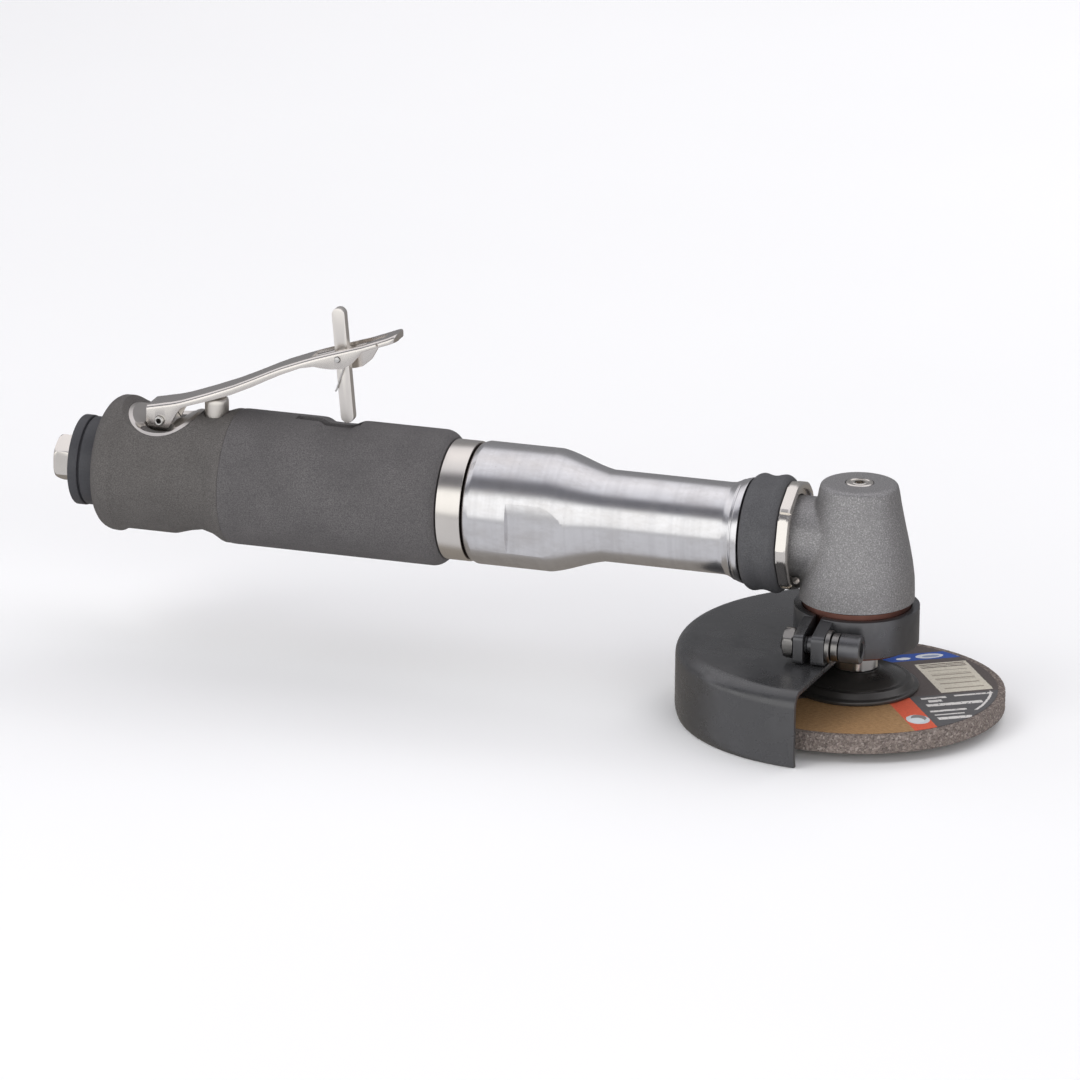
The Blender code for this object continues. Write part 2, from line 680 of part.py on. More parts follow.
for x, top, near, far in LEVER:
    w = TIP_NARROW.get(x, LEVER_HALF)
    t = LEVER_SHEET
    b = LEVER_BEND
    loop = [(x, -w, near), (x, -w, top - b), (x, -w + b, top), (x, w - b, top), (x, w, top - b), (x, w, far)]
    loop += [(x, w - t, far), (x, w - t, top - t - 0.1), (x, -w + t, top - t - 0.1), (x, -w + t, near)]
    loops.append(loop)
lever = loft("throttle_lever", loops, "nickel", origin=LEVER_PIN)
cut(lever, cylinder_y("tab_pin_bore", TAB_PIN, TAB_BORE, -9, 9, count=TINY))
cut(lever, cylinder_y("lever_bore", LEVER_PIN, PIN_BORE, -9, 9))
cut(lever, box("tab_slot", (-193.4, -4.75, 101.6), (-173.6, 4.75, 118.0)))
cut(lever, box("folded_tab_slot", (-174.0, -2.1, 101.6), (-167.5, 2.1, 118.0)))

PIN_HOLLOW = 0.8
pin_loops = [(-7.7, PIN_HOLLOW), (-7.7, PIN_R - 0.3), (-7.4, PIN_R), (7.4, PIN_R), (7.7, PIN_R - 0.3)]
pin_loops.append((7.7, PIN_HOLLOW))
pin = [[(pin_x + a, y, pin_z + b) for a, b in circle(r, FINE)] for y, r in pin_loops]
loft("lever_pin", pin, "steel", ring=True)
cylinder_y("tab_pin", TAB_PIN, TAB_PIN_R, -7.1, 7.1, "steel", TINY)

TAB_HALF = 2.25
TAB_THICK = 1.6
TAB_UP, TAB_DOWN = 16.8, 23.8
TAB_LEAN = 5.4
tab_outline = arc(0, TAB_UP - TAB_HALF, TAB_HALF, 0, 180, 9)
tab_outline += arc(0, TAB_HALF - TAB_DOWN, TAB_HALF, 180, 360, 9)
lean = math.radians(TAB_LEAN)
tab_outline = [
    (TAB_PIN[0] + a * math.cos(lean) - b * math.sin(lean), TAB_PIN[2] + a * math.sin(lean) + b * math.cos(lean))
    for a, b in tab_outline
]
tab = plate_y("lock_off_tab", tab_outline, -TAB_THICK, TAB_THICK, "nickel", origin=TAB_PIN)
cut(tab, cylinder_y("tab_bore", TAB_PIN, TAB_BORE, -5, 5, count=TINY))

# A torsion spring coiled on the tab's pin, its long leg laid across the tab's near face.
COIL_R = 1.5
TAB_WIRE_R = 0.28
coil = []
for i in range(17):
    angle = math.radians(-60 + 45 * i)
    x = TAB_PIN[0] + COIL_R * math.cos(angle)
    coil.append((x, -4.2 + 1.8 * i / 16, TAB_PIN[2] + COIL_R * math.sin(angle)))
coil += [(TAB_PIN[0] + 1.2, -2.1, TAB_PIN[2] - 3.2), (TAB_PIN[0] - 1.6, -2.1, TAB_PIN[2] - 12.4)]
tube("tab_spring", coil, TAB_WIRE_R, "steel", origin=TAB_PIN)

# ---------------------------------------------------------------- throttle valve

STEM_R = 2.3
BUTTON_R = 4.15
BUTTON_FOOT = TOOL_Z + 16.6
plunger_profile = [(TOOL_Z + 1.4, 1.6), (TOOL_Z + 2.0, STEM_R), (BUTTON_FOOT, STEM_R), (BUTTON_FOOT, BUTTON_R)]
plunger_profile += [(82.4, BUTTON_R), (83.4, 3.8), (84.1, 2.9), (84.5, 1.4)]
plunger = [[(BUTTON_X + a, b, z) for a, b in circle(r, FINE)] for z, r in plunger_profile]
loft("valve_plunger", plunger, "nickel", origin=(BUTTON_X, 0, TOOL_Z))
COIL_MEAN = 3.25
WIRE_R = 0.38
TURNS = 4
spring = []
for i in range(TURNS * 8 + 1):
    angle = 2 * math.pi * i / 8
    z = SPRING_SEAT + 0.6 + (BUTTON_FOOT - SPRING_SEAT - 1.2) * i / (TURNS * 8)
    spring.append((BUTTON_X + COIL_MEAN * math.cos(angle), COIL_MEAN * math.sin(angle), z))
tube("valve_spring", spring, WIRE_R, "steel")
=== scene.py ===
"""Looks of the pneumatic extension angle grinder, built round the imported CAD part."""

import json
import math

import bmesh
import bpy
import numpy as np
from mathutils import Matrix, Vector, noise


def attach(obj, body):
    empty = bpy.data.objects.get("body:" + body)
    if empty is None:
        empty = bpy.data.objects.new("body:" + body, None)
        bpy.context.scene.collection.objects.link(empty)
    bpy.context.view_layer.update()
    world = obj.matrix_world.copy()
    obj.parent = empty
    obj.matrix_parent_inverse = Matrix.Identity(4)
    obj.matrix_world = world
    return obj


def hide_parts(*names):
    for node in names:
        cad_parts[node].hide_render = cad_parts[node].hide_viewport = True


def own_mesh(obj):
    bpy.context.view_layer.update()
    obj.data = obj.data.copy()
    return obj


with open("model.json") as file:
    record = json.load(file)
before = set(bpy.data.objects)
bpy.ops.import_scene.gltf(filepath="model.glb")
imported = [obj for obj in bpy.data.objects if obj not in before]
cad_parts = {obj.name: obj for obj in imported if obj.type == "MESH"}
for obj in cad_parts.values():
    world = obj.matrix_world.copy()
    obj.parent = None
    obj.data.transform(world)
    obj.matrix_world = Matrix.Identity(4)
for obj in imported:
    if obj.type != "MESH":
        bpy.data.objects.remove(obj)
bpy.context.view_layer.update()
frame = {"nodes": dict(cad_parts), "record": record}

# All sizes below are in millimetres. The tool's axis lies at TOOL_Z above the spindle's nose.
MM = 0.001
TOOL_Z = 56.7
WIRE_SIDES = 12
BODY_OF = {n: b for b, nodes in frame["record"]["behaviour"]["bodies"].items() for n in nodes}
SLOT_OF = {s["node"]: s["material_slot"] for s in frame["record"]["subparts"]}

# ------------------------------------------------------------------ materials


class Nodes:
    """A short way to wire a material."""

    def __init__(self, name):
        self.material = bpy.data.materials.new(name)
        self.material.use_nodes = True
        self.tree = self.material.node_tree
        self.shader = self.tree.nodes["Principled BSDF"]
        self.where = self.add("ShaderNodeTexCoord").outputs["Object"]

    def add(self, kind, **values):
        node = self.tree.nodes.new(kind)
        for key, value in values.items():
            setattr(node, key, value)
        return node

    def put(self, socket, value):
        if isinstance(value, bpy.types.NodeSocket):
            self.tree.links.new(value, socket)
        elif isinstance(value, (tuple, list)) and len(value) == 3 and socket.type == "RGBA":
            socket.default_value = (*value, 1.0)
        else:
            socket.default_value = value

    def math(self, operation, a, b=0.0, c=0.0):
        node = self.add("ShaderNodeMath", operation=operation)
        for i, value in enumerate((a, b, c)):
            self.put(node.inputs[i], value)
        return node.outputs[0]

    def stretch(self, x, y, z, turn=0.0):
        node = self.add("ShaderNodeMapping")
        self.put(node.inputs["Vector"], self.where)
        node.inputs["Scale"].default_value = (x, y, z)
        node.inputs["Rotation"].default_value = (0, 0, turn)
        return node.outputs[0]

    def noise(self, scale, detail=3.0, rough=0.5, vector=None):
        node = self.add("ShaderNodeTexNoise")
        self.put(node.inputs["Vector"], vector or self.where)
        node.inputs["Scale"].default_value = scale
        node.inputs["Detail"].default_value = detail
        node.inputs["Roughness"].default_value = rough
        return node.outputs["Fac"]

    def cells(self, scale, output="Color"):
        node = self.add("ShaderNodeTexVoronoi")
        self.put(node.inputs["Vector"], self.where)
        node.inputs["Scale"].default_value = scale
        return node.outputs[output]

    def ramp(self, value, *stops):
        node = self.add("ShaderNodeValToRGB")
        self.put(node.inputs[0], value)
        elements = node.color_ramp.elements
        while len(elements) < len(stops):
            elements.new(0.5)
        for element, (place, colour) in zip(elements, stops):
            element.position = place
            colour = (colour,) * 3 if isinstance(colour, float) else colour
            element.color = (*colour, 1.0)
        return node.outputs[0]

    def mix(self, share, a, b):
        node = self.add("ShaderNodeMix", data_type="RGBA")
        self.put(node.inputs[0], share)
        self.put(node.inputs[6], a)
        self.put(node.inputs[7], b)
        return node.outputs[2]

    def bump(self, height, strength, distance=0.0002, below=None):
        node = self.add("ShaderNodeBump")
        node.inputs["Strength"].default_value = strength
        node.inputs["Distance"].default_value = distance
        self.put(node.inputs["Height"], height)
        if below is not None:
            self.put(node.inputs["Normal"], below)
        return node.outputs[0]

    def set(self, **values):
        for key, value in values.items():
            self.put(self.shader.inputs[key.replace("_", " ")], value)
        return self.material


def rubber(name, base, speck, roughness=0.62):
    m = Nodes(name)
    fine = m.noise(2600.0, 2.0, 0.6)
    broad = m.noise(60.0, 4.0, 0.6)
    tone = m.ramp(fine, (0.35, base), (0.72, speck))
    tone = m.mix(m.ramp(broad, (0.35, 0.0), (0.75, 0.45)), tone, tuple(c * 0.8 for c in base))
    scuff = m.noise(22.0, 5.0, 0.7, m.stretch(1.0, 4.0, 4.0))
    rough = m.ramp(scuff, (0.3, roughness - 0.08), (0.7, roughness + 0.12))
    relief = m.bump(fine, 0.35, 0.00012, m.bump(broad, 0.12, 0.0006))
    m.shader.inputs["Specular IOR Level"].default_value = 0.42
    return m.set(Base_Color=tone, Roughness=rough, Normal=relief)


def metal(name, base, roughness, spread=0.06, lathe=0.0, dirt=0.12, grain=0.0, along="X"):
    """Metal with turning marks round an axis, broad clouding and a little dirt."""
    m = Nodes(name)
    cloud = m.noise(45.0, 4.0, 0.6)
    wear = m.noise(300.0, 5.0, 0.7)
    tone = m.mix(m.ramp(cloud, (0.35, 0.0), (0.8, dirt)), base, tuple(c * 0.45 for c in base))
    rough = m.math("MULTIPLY_ADD", wear, spread * 2, roughness - spread)
    heights = None
    if lathe:
        scale = (5200.0, 3.0, 3.0) if along == "X" else (3.0, 3.0, 5200.0)
        marks = m.noise(1.0, 3.0, 0.7, m.stretch(*scale))
        heights = m.bump(marks, lathe, 0.00003)
        rough = m.math("MULTIPLY_ADD", marks, 0.08, rough)
    if grain:
        heights = m.bump(m.noise(3200.0, 2.0, 0.5), grain, 0.00008, heights)
    m.shader.inputs["Metallic"].default_value = 1.0
    values = {"Base_Color": tone, "Roughness": rough}
    if heights is not None:
        values["Normal"] = heights
    return m.set(**values)


def barrel_steel(name):
    """Turned and polished steel with lathe rings, a few brighter bands and grime in the joint."""
    m = Nodes(name)
    split = m.add("ShaderNodeSeparateXYZ")
    m.put(split.inputs[0], m.where)
    x = split.outputs[0]
    fine = m.noise(1.0, 2.0, 0.6, m.stretch(5200.0, 3.0, 3.0))
    bands = m.noise(1.0, 2.0, 0.6, m.stretch(330.0, 6.0, 6.0))
    cloud = m.noise(70.0, 5.0, 0.7, m.stretch(1.0, 2.4, 2.4))
    tone = m.mix(m.ramp(cloud, (0.42, 0.0), (0.72, 0.5)), (0.79, 0.785, 0.795), (0.58, 0.55, 0.53))
    tone = m.mix(m.ramp(bands, (0.4, 0.0), (0.65, 0.28)), tone, (0.62, 0.61, 0.62))
    speck = m.noise(1500.0, 2.0, 0.8)
    tone = m.mix(m.ramp(speck, (0.71, 0.0), (0.76, 0.75)), tone, (0.2, 0.15, 0.12))
    joint = m.ramp(m.math("MULTIPLY_ADD", x, 1000.0, 134.6), (0.0, 1.0), (0.75, 0.9), (1.0, 0.0))
    tone = m.mix(joint, tone, (0.07, 0.055, 0.05))
    rough = m.math("MULTIPLY_ADD", bands, 0.12, 0.12)
    rough = m.math("MULTIPLY_ADD", cloud, 0.1, rough)
    rough = m.math("MULTIPLY_ADD", joint, 0.3, rough)
    m.shader.inputs["Metallic"].default_value = 1.0
    relief = m.bump(fine, 0.22, 0.00003, m.bump(bands, 0.2, 0.00008))
    return m.set(Base_Color=tone, Roughness=rough, Normal=relief)


def cast(name, base, bright):
    """Bead-blasted casting: fine grains, a few of them bright."""
    m = Nodes(name)
    grains = m.noise(2300.0, 2.0, 0.6)
    spark = m.cells(2600.0)
    broad = m.noise(70.0, 3.0, 0.5)
    tone = m.ramp(grains, (0.32, tuple(c * 0.7 for c in base)), (0.55, base), (0.74, bright))
    tone = m.mix(m.ramp(broad, (0.3, 0.0), (0.8, 0.3)), tone, tuple(c * 0.75 for c in base))
    rough = m.ramp(spark, (0.1, 0.42), (0.9, 0.62))
    m.shader.inputs["Metallic"].default_value = 0.75
    relief = m.bump(grains, 0.5, 0.0001, m.bump(broad, 0.1, 0.0004))
    return m.set(Base_Color=tone, Roughness=rough, Normal=relief)


def paint(name, base, roughness, edge=0.0, peel=0.12):
    """Satin black finish with a slight orange peel, dust and rubbed spots."""
    m = Nodes(name)
    peel_noise = m.noise(900.0, 2.0, 0.5)
    dust = m.noise(35.0, 6.0, 0.7)
    tone = m.mix(m.ramp(dust, (0.45, 0.0), (0.8, 0.35)), base, tuple(c * 2.2 + 0.01 for c in base))
    rough = m.ramp(m.noise(120.0, 4.0, 0.6), (0.3, roughness - 0.06), (0.75, roughness + 0.12))
    m.shader.inputs["Metallic"].default_value = edge
    m.shader.inputs["Specular IOR Level"].default_value = 0.9
    return m.set(Base_Color=tone, Roughness=rough, Normal=m.bump(peel_noise, peel, 0.00012))


def abrasive(name):
    """Bonded grit: dark brown-grey grains, some pale, some glassy."""
    m = Nodes(name)
    grit = m.cells(1500.0)
    small = m.cells(3300.0)
    shade = m.ramp(grit, (0.0, (0.055, 0.043, 0.037)), (0.35, (0.13, 0.1, 0.088)), (0.7, (0.26, 0.21, 0.185)),
                   (1.0, (0.5, 0.44, 0.4)))
    shade = m.mix(0.4, shade, m.ramp(small, (0.0, (0.04, 0.033, 0.03)), (1.0, (0.36, 0.31, 0.28))))
    height = m.math("ADD", m.cells(1500.0, "Distance"), m.noise(2600.0, 3.0, 0.6))
    rough = m.ramp(small, (0.0, 0.95), (0.85, 0.75), (1.0, 0.25))
    return m.set(Base_Color=shade, Roughness=rough, Normal=m.bump(height, 0.9, 0.0004))


def wheel_label(name):
    """Printed paper label in plain colour blocks and bars; it holds no words."""
    m = Nodes(name)
    split = m.add("ShaderNodeSeparateXYZ")
    m.put(split.inputs[0], m.stretch(1000.0, 1000.0, 1000.0, math.radians(-33.0)))
    u, w = split.outputs[0], split.outputs[1]
    v = m.math("MULTIPLY", w, -1.0)
    ragged = m.math("MULTIPLY_ADD", m.noise(700.0, 2.0), 0.5, -0.25)
    u = m.math("ADD", u, ragged)
    v = m.math("ADD", v, ragged)
    radius = m.math("SQRT", m.math("ADD", m.math("MULTIPLY", u, u), m.math("MULTIPLY", v, v)))

    def inside(value, low, high):
        return m.math("MULTIPLY", m.math("GREATER_THAN", value, low), m.math("LESS_THAN", value, high))

    def patch(u0, u1, v0, v1):
        return m.math("MULTIPLY", inside(u, u0, u1), inside(v, v0, v1))

    def disc(cu, cv, ru, rv):
        a = m.math("DIVIDE", m.math("SUBTRACT", u, cu), ru)
        b = m.math("DIVIDE", m.math("SUBTRACT", v, cv), rv)
        return m.math("LESS_THAN", m.math("ADD", m.math("MULTIPLY", a, a), m.math("MULTIPLY", b, b)), 1.0)

    def striped(length, share, seed):
        """Bars of uneven width across v."""
        wave = m.math("SINE", m.math("MULTIPLY_ADD", v, 2 * math.pi / length, seed))
        second = m.math("SINE", m.math("MULTIPLY_ADD", v, 2 * math.pi / (length * 0.37), seed * 2))
        return m.math("GREATER_THAN", m.math("MULTIPLY_ADD", second, 0.5, wave), share)

    fibre = m.noise(1600.0, 3.0, 0.7)
    tone = m.ramp(fibre, (0.3, (0.062, 0.05, 0.047)), (0.7, (0.11, 0.092, 0.087)))
    grey = m.ramp(fibre, (0.3, (0.07, 0.068, 0.07)), (0.7, (0.11, 0.108, 0.11)))
    tone = m.mix(patch(14.2, 60.0, 15.5, 60.0), tone, grey)
    gold_grain = m.noise(1.0, 4.0, 0.75, m.stretch(600.0, 2600.0, 1.0, math.radians(8.0)))
    gold = m.ramp(gold_grain, (0.3, (0.16, 0.085, 0.035)), (0.5, (0.33, 0.19, 0.085)),
                  (0.75, (0.52, 0.34, 0.17)))
    tone = m.mix(patch(-60.0, 6.0, 8.0, 60.0), tone, gold)
    red = m.ramp(fibre, (0.3, (0.52, 0.075, 0.035)), (0.7, (0.66, 0.12, 0.06)))
    tone = m.mix(patch(5.8, 14.2, 8.0, 60.0), tone, red)
    pale = (0.52, 0.56, 0.58)
    tone = m.mix(disc(10.2, 37.6, 3.9, 4.6), tone, pale)
    tone = m.mix(disc(10.9, 36.2, 2.6, 3.0), tone, (0.2, 0.19, 0.19))
    tone = m.mix(disc(9.6, 38.4, 2.5, 2.6), tone, (0.6, 0.64, 0.66))
    blue = m.ramp(fibre, (0.3, (0.018, 0.055, 0.26)), (0.7, (0.035, 0.1, 0.4)))
    tone = m.mix(patch(17.5, 60.0, -27.0, -20.0), tone, blue)
    tone = m.mix(disc(34.0, -23.4, 5.0, 2.3), tone, (0.62, 0.64, 0.66))
    tone = m.mix(disc(34.5, -23.2, 3.2, 1.1), tone, (0.25, 0.3, 0.42))
    tone = m.mix(disc(24.5, -22.6, 2.6, 1.2), tone, (0.68, 0.7, 0.72))
    beige = m.ramp(fibre, (0.3, (0.5, 0.46, 0.38)), (0.7, (0.66, 0.62, 0.53)))
    tone = m.mix(patch(26.2, 44.6, -16.0, 14.0), tone, beige)
    ink = (0.11, 0.085, 0.07)
    rules = m.math("MULTIPLY", patch(28.5, 42.6, -8.5, 11.0), striped(4.6, 0.62, 0.7))
    tone = m.mix(rules, tone, (0.3, 0.26, 0.21))
    tone = m.mix(m.math("MULTIPLY", patch(27.4, 43.6, -15.0, -11.2), striped(1.5, 0.1, 0.0)), tone, ink)
    white = (0.62, 0.6, 0.58)
    marks = (
        (17.6, 26.5, 17.4, 19.0), (19.2, 24.0, 20.2, 22.4), (29.5, 43.2, 17.0, 18.4),
        (17.4, 37.0, 24.0, 26.4), (16.6, 29.5, 30.4, 32.0), (17.0, 27.5, 34.4, 35.4),
        (17.0, 29.0, 37.4, 39.8),
    )
    for corners in marks:
        broken = m.math("GREATER_THAN", m.noise(900.0, 2.0), 0.36)
        tone = m.mix(m.math("MULTIPLY", patch(*corners), broken), tone, white)
    arc_mark = m.math("MULTIPLY", inside(radius, 45.6, 46.5), patch(30.0, 43.0, 15.0, 33.0))
    tone = m.mix(arc_mark, tone, white)
    rubbed = m.math("GREATER_THAN", m.noise(1300.0, 4.0, 0.7), 0.66)
    tone = m.mix(m.math("MULTIPLY", rubbed, 0.55), tone, (0.09, 0.075, 0.07))
    return m.set(Base_Color=tone, Roughness=m.ramp(fibre, (0.2, 0.55), (0.8, 0.75)),
                 Normal=m.bump(fibre, 0.3, 0.0001))


GRIP = rubber("grip_composite", (0.072, 0.068, 0.07), (0.15, 0.142, 0.142))
REAR = rubber("rear_composite", (0.071, 0.066, 0.063), (0.15, 0.14, 0.134), 0.6)
BOOT = rubber("boot_rubber", (0.062, 0.062, 0.066), (0.11, 0.11, 0.116), 0.55)
EXHAUST = rubber("exhaust_plastic", (0.043, 0.043, 0.048), (0.053, 0.054, 0.06), 0.42)
STEEL = metal("machined_steel", (0.8, 0.8, 0.82), 0.17, 0.03, lathe=0.25, dirt=0.08)
BARREL = barrel_steel("barrel_steel")
FLAT = metal("milled_flat", (0.72, 0.71, 0.715), 0.34, 0.06, dirt=0.35, grain=0.12)
STEEL_Z = metal("turned_steel", (0.72, 0.71, 0.69), 0.26, 0.05, lathe=0.3, dirt=0.2, along="Z")
NICKEL = metal("nickel_plate", (0.83, 0.79, 0.74), 0.2, 0.04, lathe=0.12, dirt=0.15)
LEVER = metal("lever_nickel", (0.82, 0.78, 0.74), 0.2, 0.05, dirt=0.25, grain=0.05)
TAB = metal("tab_nickel", (0.93, 0.89, 0.84), 0.33, 0.05, dirt=0.1, grain=0.08)
ALUMINIUM = metal("milled_aluminium", (0.68, 0.65, 0.62), 0.36, 0.06, dirt=0.25, grain=0.1)
BUTTON = metal("button_nickel", (0.82, 0.78, 0.73), 0.4, 0.05, dirt=0.2, grain=0.05)
BRONZE = metal("coppery_bronze", (0.2, 0.095, 0.075), 0.42, 0.08, dirt=0.8)
HEAD = cast("blasted_casting", (0.325, 0.318, 0.32), (0.54, 0.53, 0.53))
GUARD = paint("guard_paint", (0.035, 0.035, 0.037), 0.27)
OXIDE = paint("black_oxide", (0.105, 0.105, 0.11), 0.3, edge=0.75, peel=0.06)
FLANGE = paint("flange_black", (0.042, 0.04, 0.038), 0.3, edge=0.4, peel=0.05)
GRIT = abrasive("bonded_grit")
LABEL = wheel_label("wheel_label")
VANE = paint("vane_laminate", (0.2, 0.12, 0.05), 0.6)
STEEL_DARK = metal("dark_washer", (0.3, 0.29, 0.28), 0.3, 0.06, dirt=0.4)

BY_SLOT = {
    "nickel": NICKEL, "black_plastic": EXHAUST, "aluminium": ALUMINIUM, "grip": GRIP, "rubber": BOOT,
    "steel": STEEL, "head": HEAD, "bronze": BRONZE, "black_oxide": OXIDE, "black_paint": GUARD,
    "abrasive": GRIT, "vane": VANE,
}
for node, thing in frame["nodes"].items():
    thing.data.materials.clear()
    thing.data.materials.append(BY_SLOT[SLOT_OF[node]])

# ------------------------------------------------------------------ shapes, in millimetres


def make(name, verts, faces, look, sharp=34.0):
    mesh = bmesh.new()
    made = [mesh.verts.new(Vector(p) * MM) for p in verts]
    for face in faces:
        mesh.faces.new([made[i] for i in face])
    bmesh.ops.recalc_face_normals(mesh, faces=mesh.faces)
    data = bpy.data.meshes.new(name)
    mesh.to_mesh(data)
    mesh.free()
    thing = bpy.data.objects.new(name, data)
    bpy.context.scene.collection.objects.link(thing)
    if look:
        data.materials.append(look)
    data.shade_smooth()
    data.set_sharp_from_angle(angle=math.radians(sharp))
    return thing


def loft(name, loops, look, ring=False, sharp=34.0):
    count = len(loops[0])
    verts = [p for loop in loops for p in loop]
    faces = []
    rows = len(loops)
    for a in range(rows if ring else rows - 1):
        b = (a + 1) % rows
        for i in range(count):
            j = (i + 1) % count
            faces.append((a * count + i, a * count + j, b * count + j, b * count + i))
    if not ring:
        faces.append(tuple(range(count)))
        faces.append(tuple(range((rows - 1) * count, rows * count)))
    return make(name, verts, faces, look, sharp)


def circle(radius, count):
    turn = 2 * math.pi / count
    return [(radius * math.cos(turn * i), radius * math.sin(turn * i)) for i in range(count)]


def polygon(apothem, sides, count, clip=None, phase=0.0):
    points = []
    for i in range(count):
        angle = 2 * math.pi * i / count
        off = (angle - phase + math.pi / sides) % (2 * math.pi / sides) - math.pi / sides
        r = apothem / math.cos(off)
        r = min(r, clip) if clip else r
        points.append((r * math.cos(angle), r * math.sin(angle)))
    return points


def soften(points, reach=0.3, steps=4, closed=True):
    """Rounds the corners of a 2-D outline with short curves, so that edges catch the light."""
    out = []
    count = len(points)
    for i, p in enumerate(points):
        if not closed and i in (0, count - 1):
            out.append(tuple(p))
            continue
        p = Vector(p)
        a, b = Vector(points[i - 1]) - p, Vector(points[(i + 1) % count]) - p
        if a.length < 1e-6 or b.length < 1e-6 or abs(a.angle(b) - math.pi) < 0.12:
            out.append(tuple(p))
            continue
        start = p + a.normalized() * min(reach, a.length * 0.45)
        end = p + b.normalized() * min(reach, b.length * 0.45)
        for k in range(steps + 1):
            t = k / steps
            out.append(tuple(start * (1 - t) ** 2 + p * 2 * t * (1 - t) + end * t * t))
    return out


def at_tool(x, flat):
    return [(x, a, TOOL_Z + b) for a, b in flat]


def at_spindle(z, flat):
    return [(a, b, z) for a, b in flat]


def ring_x(name, profile, look, reach=0.3, count=144):
    return loft(name, [at_tool(x, circle(r, count)) for x, r in soften(profile, reach)], look, ring=True)


def ring_z(name, profile, look, reach=0.3, count=144):
    return loft(name, [at_spindle(z, circle(r, count)) for r, z in soften(profile, reach)], look, ring=True)


def plate_y(name, outline, low, high, look=None):
    return loft(name, [[(x, y, z) for x, z in outline] for y in (low, high)], look)


def block(name, low, high):
    xs, ys, zs = zip(low, high)
    outline = [(xs[0], zs[0]), (xs[1], zs[0]), (xs[1], zs[1]), (xs[0], zs[1])]
    return plate_y(name, outline, ys[0], ys[1])


def rod(name, start, end, radius, look=None, count=48):
    start, end = Vector(start), Vector(end)
    way = (end - start).normalized()
    side = way.orthogonal().normalized()
    up = way.cross(side)
    loops = [[tuple(p + radius * (a * side + b * up)) for a, b in circle(1.0, count)] for p in (start, end)]
    return loft(name, loops, look)


def tube(name, path, radius, look):
    """A round wire along a path, its section carried along without twist."""
    path = [Vector(p) for p in path]
    loops, side = [], None
    for i, p in enumerate(path):
        way = (path[min(i + 1, len(path) - 1)] - path[max(i - 1, 0)]).normalized()
        side = way.orthogonal().normalized() if side is None else (side - way * side.dot(way)).normalized()
        up = way.cross(side)
        loops.append([tuple(p + radius * (a * side + b * up)) for a, b in circle(1.0, WIRE_SIDES)])
    return loft(name, loops, look)


def arc(cx, cy, radius, start, end, count):
    out = []
    for i in range(count):
        angle = math.radians(start + (end - start) * i / (count - 1))
        out.append((cx + radius * math.cos(angle), cy + radius * math.sin(angle)))
    return out


def combine(target, other, operation="DIFFERENCE"):
    modifier = target.modifiers.new(operation.lower(), "BOOLEAN")
    modifier.operation = operation
    modifier.solver = "EXACT"
    modifier.object = other
    settle(target)
    bpy.data.objects.remove(other, do_unlink=True)


def settle(thing, sharp=34.0):
    """Applies the modifiers, so that only the mesh is left."""
    graph = bpy.context.evaluated_depsgraph_get()
    data = bpy.data.meshes.new_from_object(thing.evaluated_get(graph))
    thing.modifiers.clear()
    old = thing.data
    thing.data = data
    bpy.data.meshes.remove(old)
    data.shade_smooth()
    data.set_sharp_from_angle(angle=math.radians(sharp))


def edge(thing, width, angle):
    """Small rounded edges."""
    modifier = thing.modifiers.new("edge", "BEVEL")
    modifier.width = width * MM
    modifier.segments = 3
    modifier.limit_method = "ANGLE"
    modifier.angle_limit = math.radians(angle)
    modifier.harden_normals = False
    settle(thing)


def stands_for(thing, *nodes):
    """The piece rides on its node's body and hides the CAD node."""
    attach(thing, BODY_OF[nodes[0]])
    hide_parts(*nodes)


def smooth_line(xs, ys, at, reach):
    """The line through the points, averaged over a short reach."""
    total = np.zeros(len(at))
    for shift in np.linspace(-reach, reach, 9):
        total += np.interp(np.clip(at + shift, xs[0], xs[-1]), xs, ys)
    return total / 9


# ------------------------------------------------------------------ rear end and grips

HEX = 96
bushing = []
for x, clip in ((-286.0, 7.35), (-285.75, 7.7), (-285.2, 8.1), (-284.6, 8.3), (-279.2, 8.3), (-278.5, 7.7)):
    bushing.append(at_tool(x, polygon(7.15, 6, HEX, clip)))
for x, r in ((-278.4, 6.6), (-258.1, 6.6), (-258.0, 6.5), (-258.0, 3.6), (-272.0, 4.2)):
    bushing.append(at_tool(x, circle(r, HEX)))
THREAD_PITCH = 1.41
for i in range(8):
    x = -273.0 - THREAD_PITCH * i
    bushing.append(at_tool(x, circle(4.9 + 0.02 * i, HEX)))
    bushing.append(at_tool(x - THREAD_PITCH / 2, circle(5.4 + 0.02 * i, HEX)))
bushing += [at_tool(x, circle(r, HEX)) for x, r in ((-285.4, 5.5), (-285.9, 6.0), (-286.0, 6.2))]
stands_for(loft("inlet_hexagon", bushing, NICKEL, ring=True), "inlet_bushing")

exhaust = ring_x(
    "rear_exhaust_ring",
    [(-278.0, 7.0), (-278.0, 15.6), (-274.5, 15.6), (-274.5, 14.5), (-273.9, 14.5), (-273.9, 15.3),
     (-268.3, 15.3), (-268.3, 7.0)],
    EXHAUST, 0.5, 160,
)
HOLE_CIRCLE = 11.3
for i in range(8):
    around = math.radians(45 * i + 22.5)
    y, z = HOLE_CIRCLE * math.cos(around), TOOL_Z + HOLE_CIRCLE * math.sin(around)
    combine(exhaust, rod("drill", (-280, y, z), (-266, y, z), 1.4, None, 32))
stands_for(exhaust, "exhaust_ring")

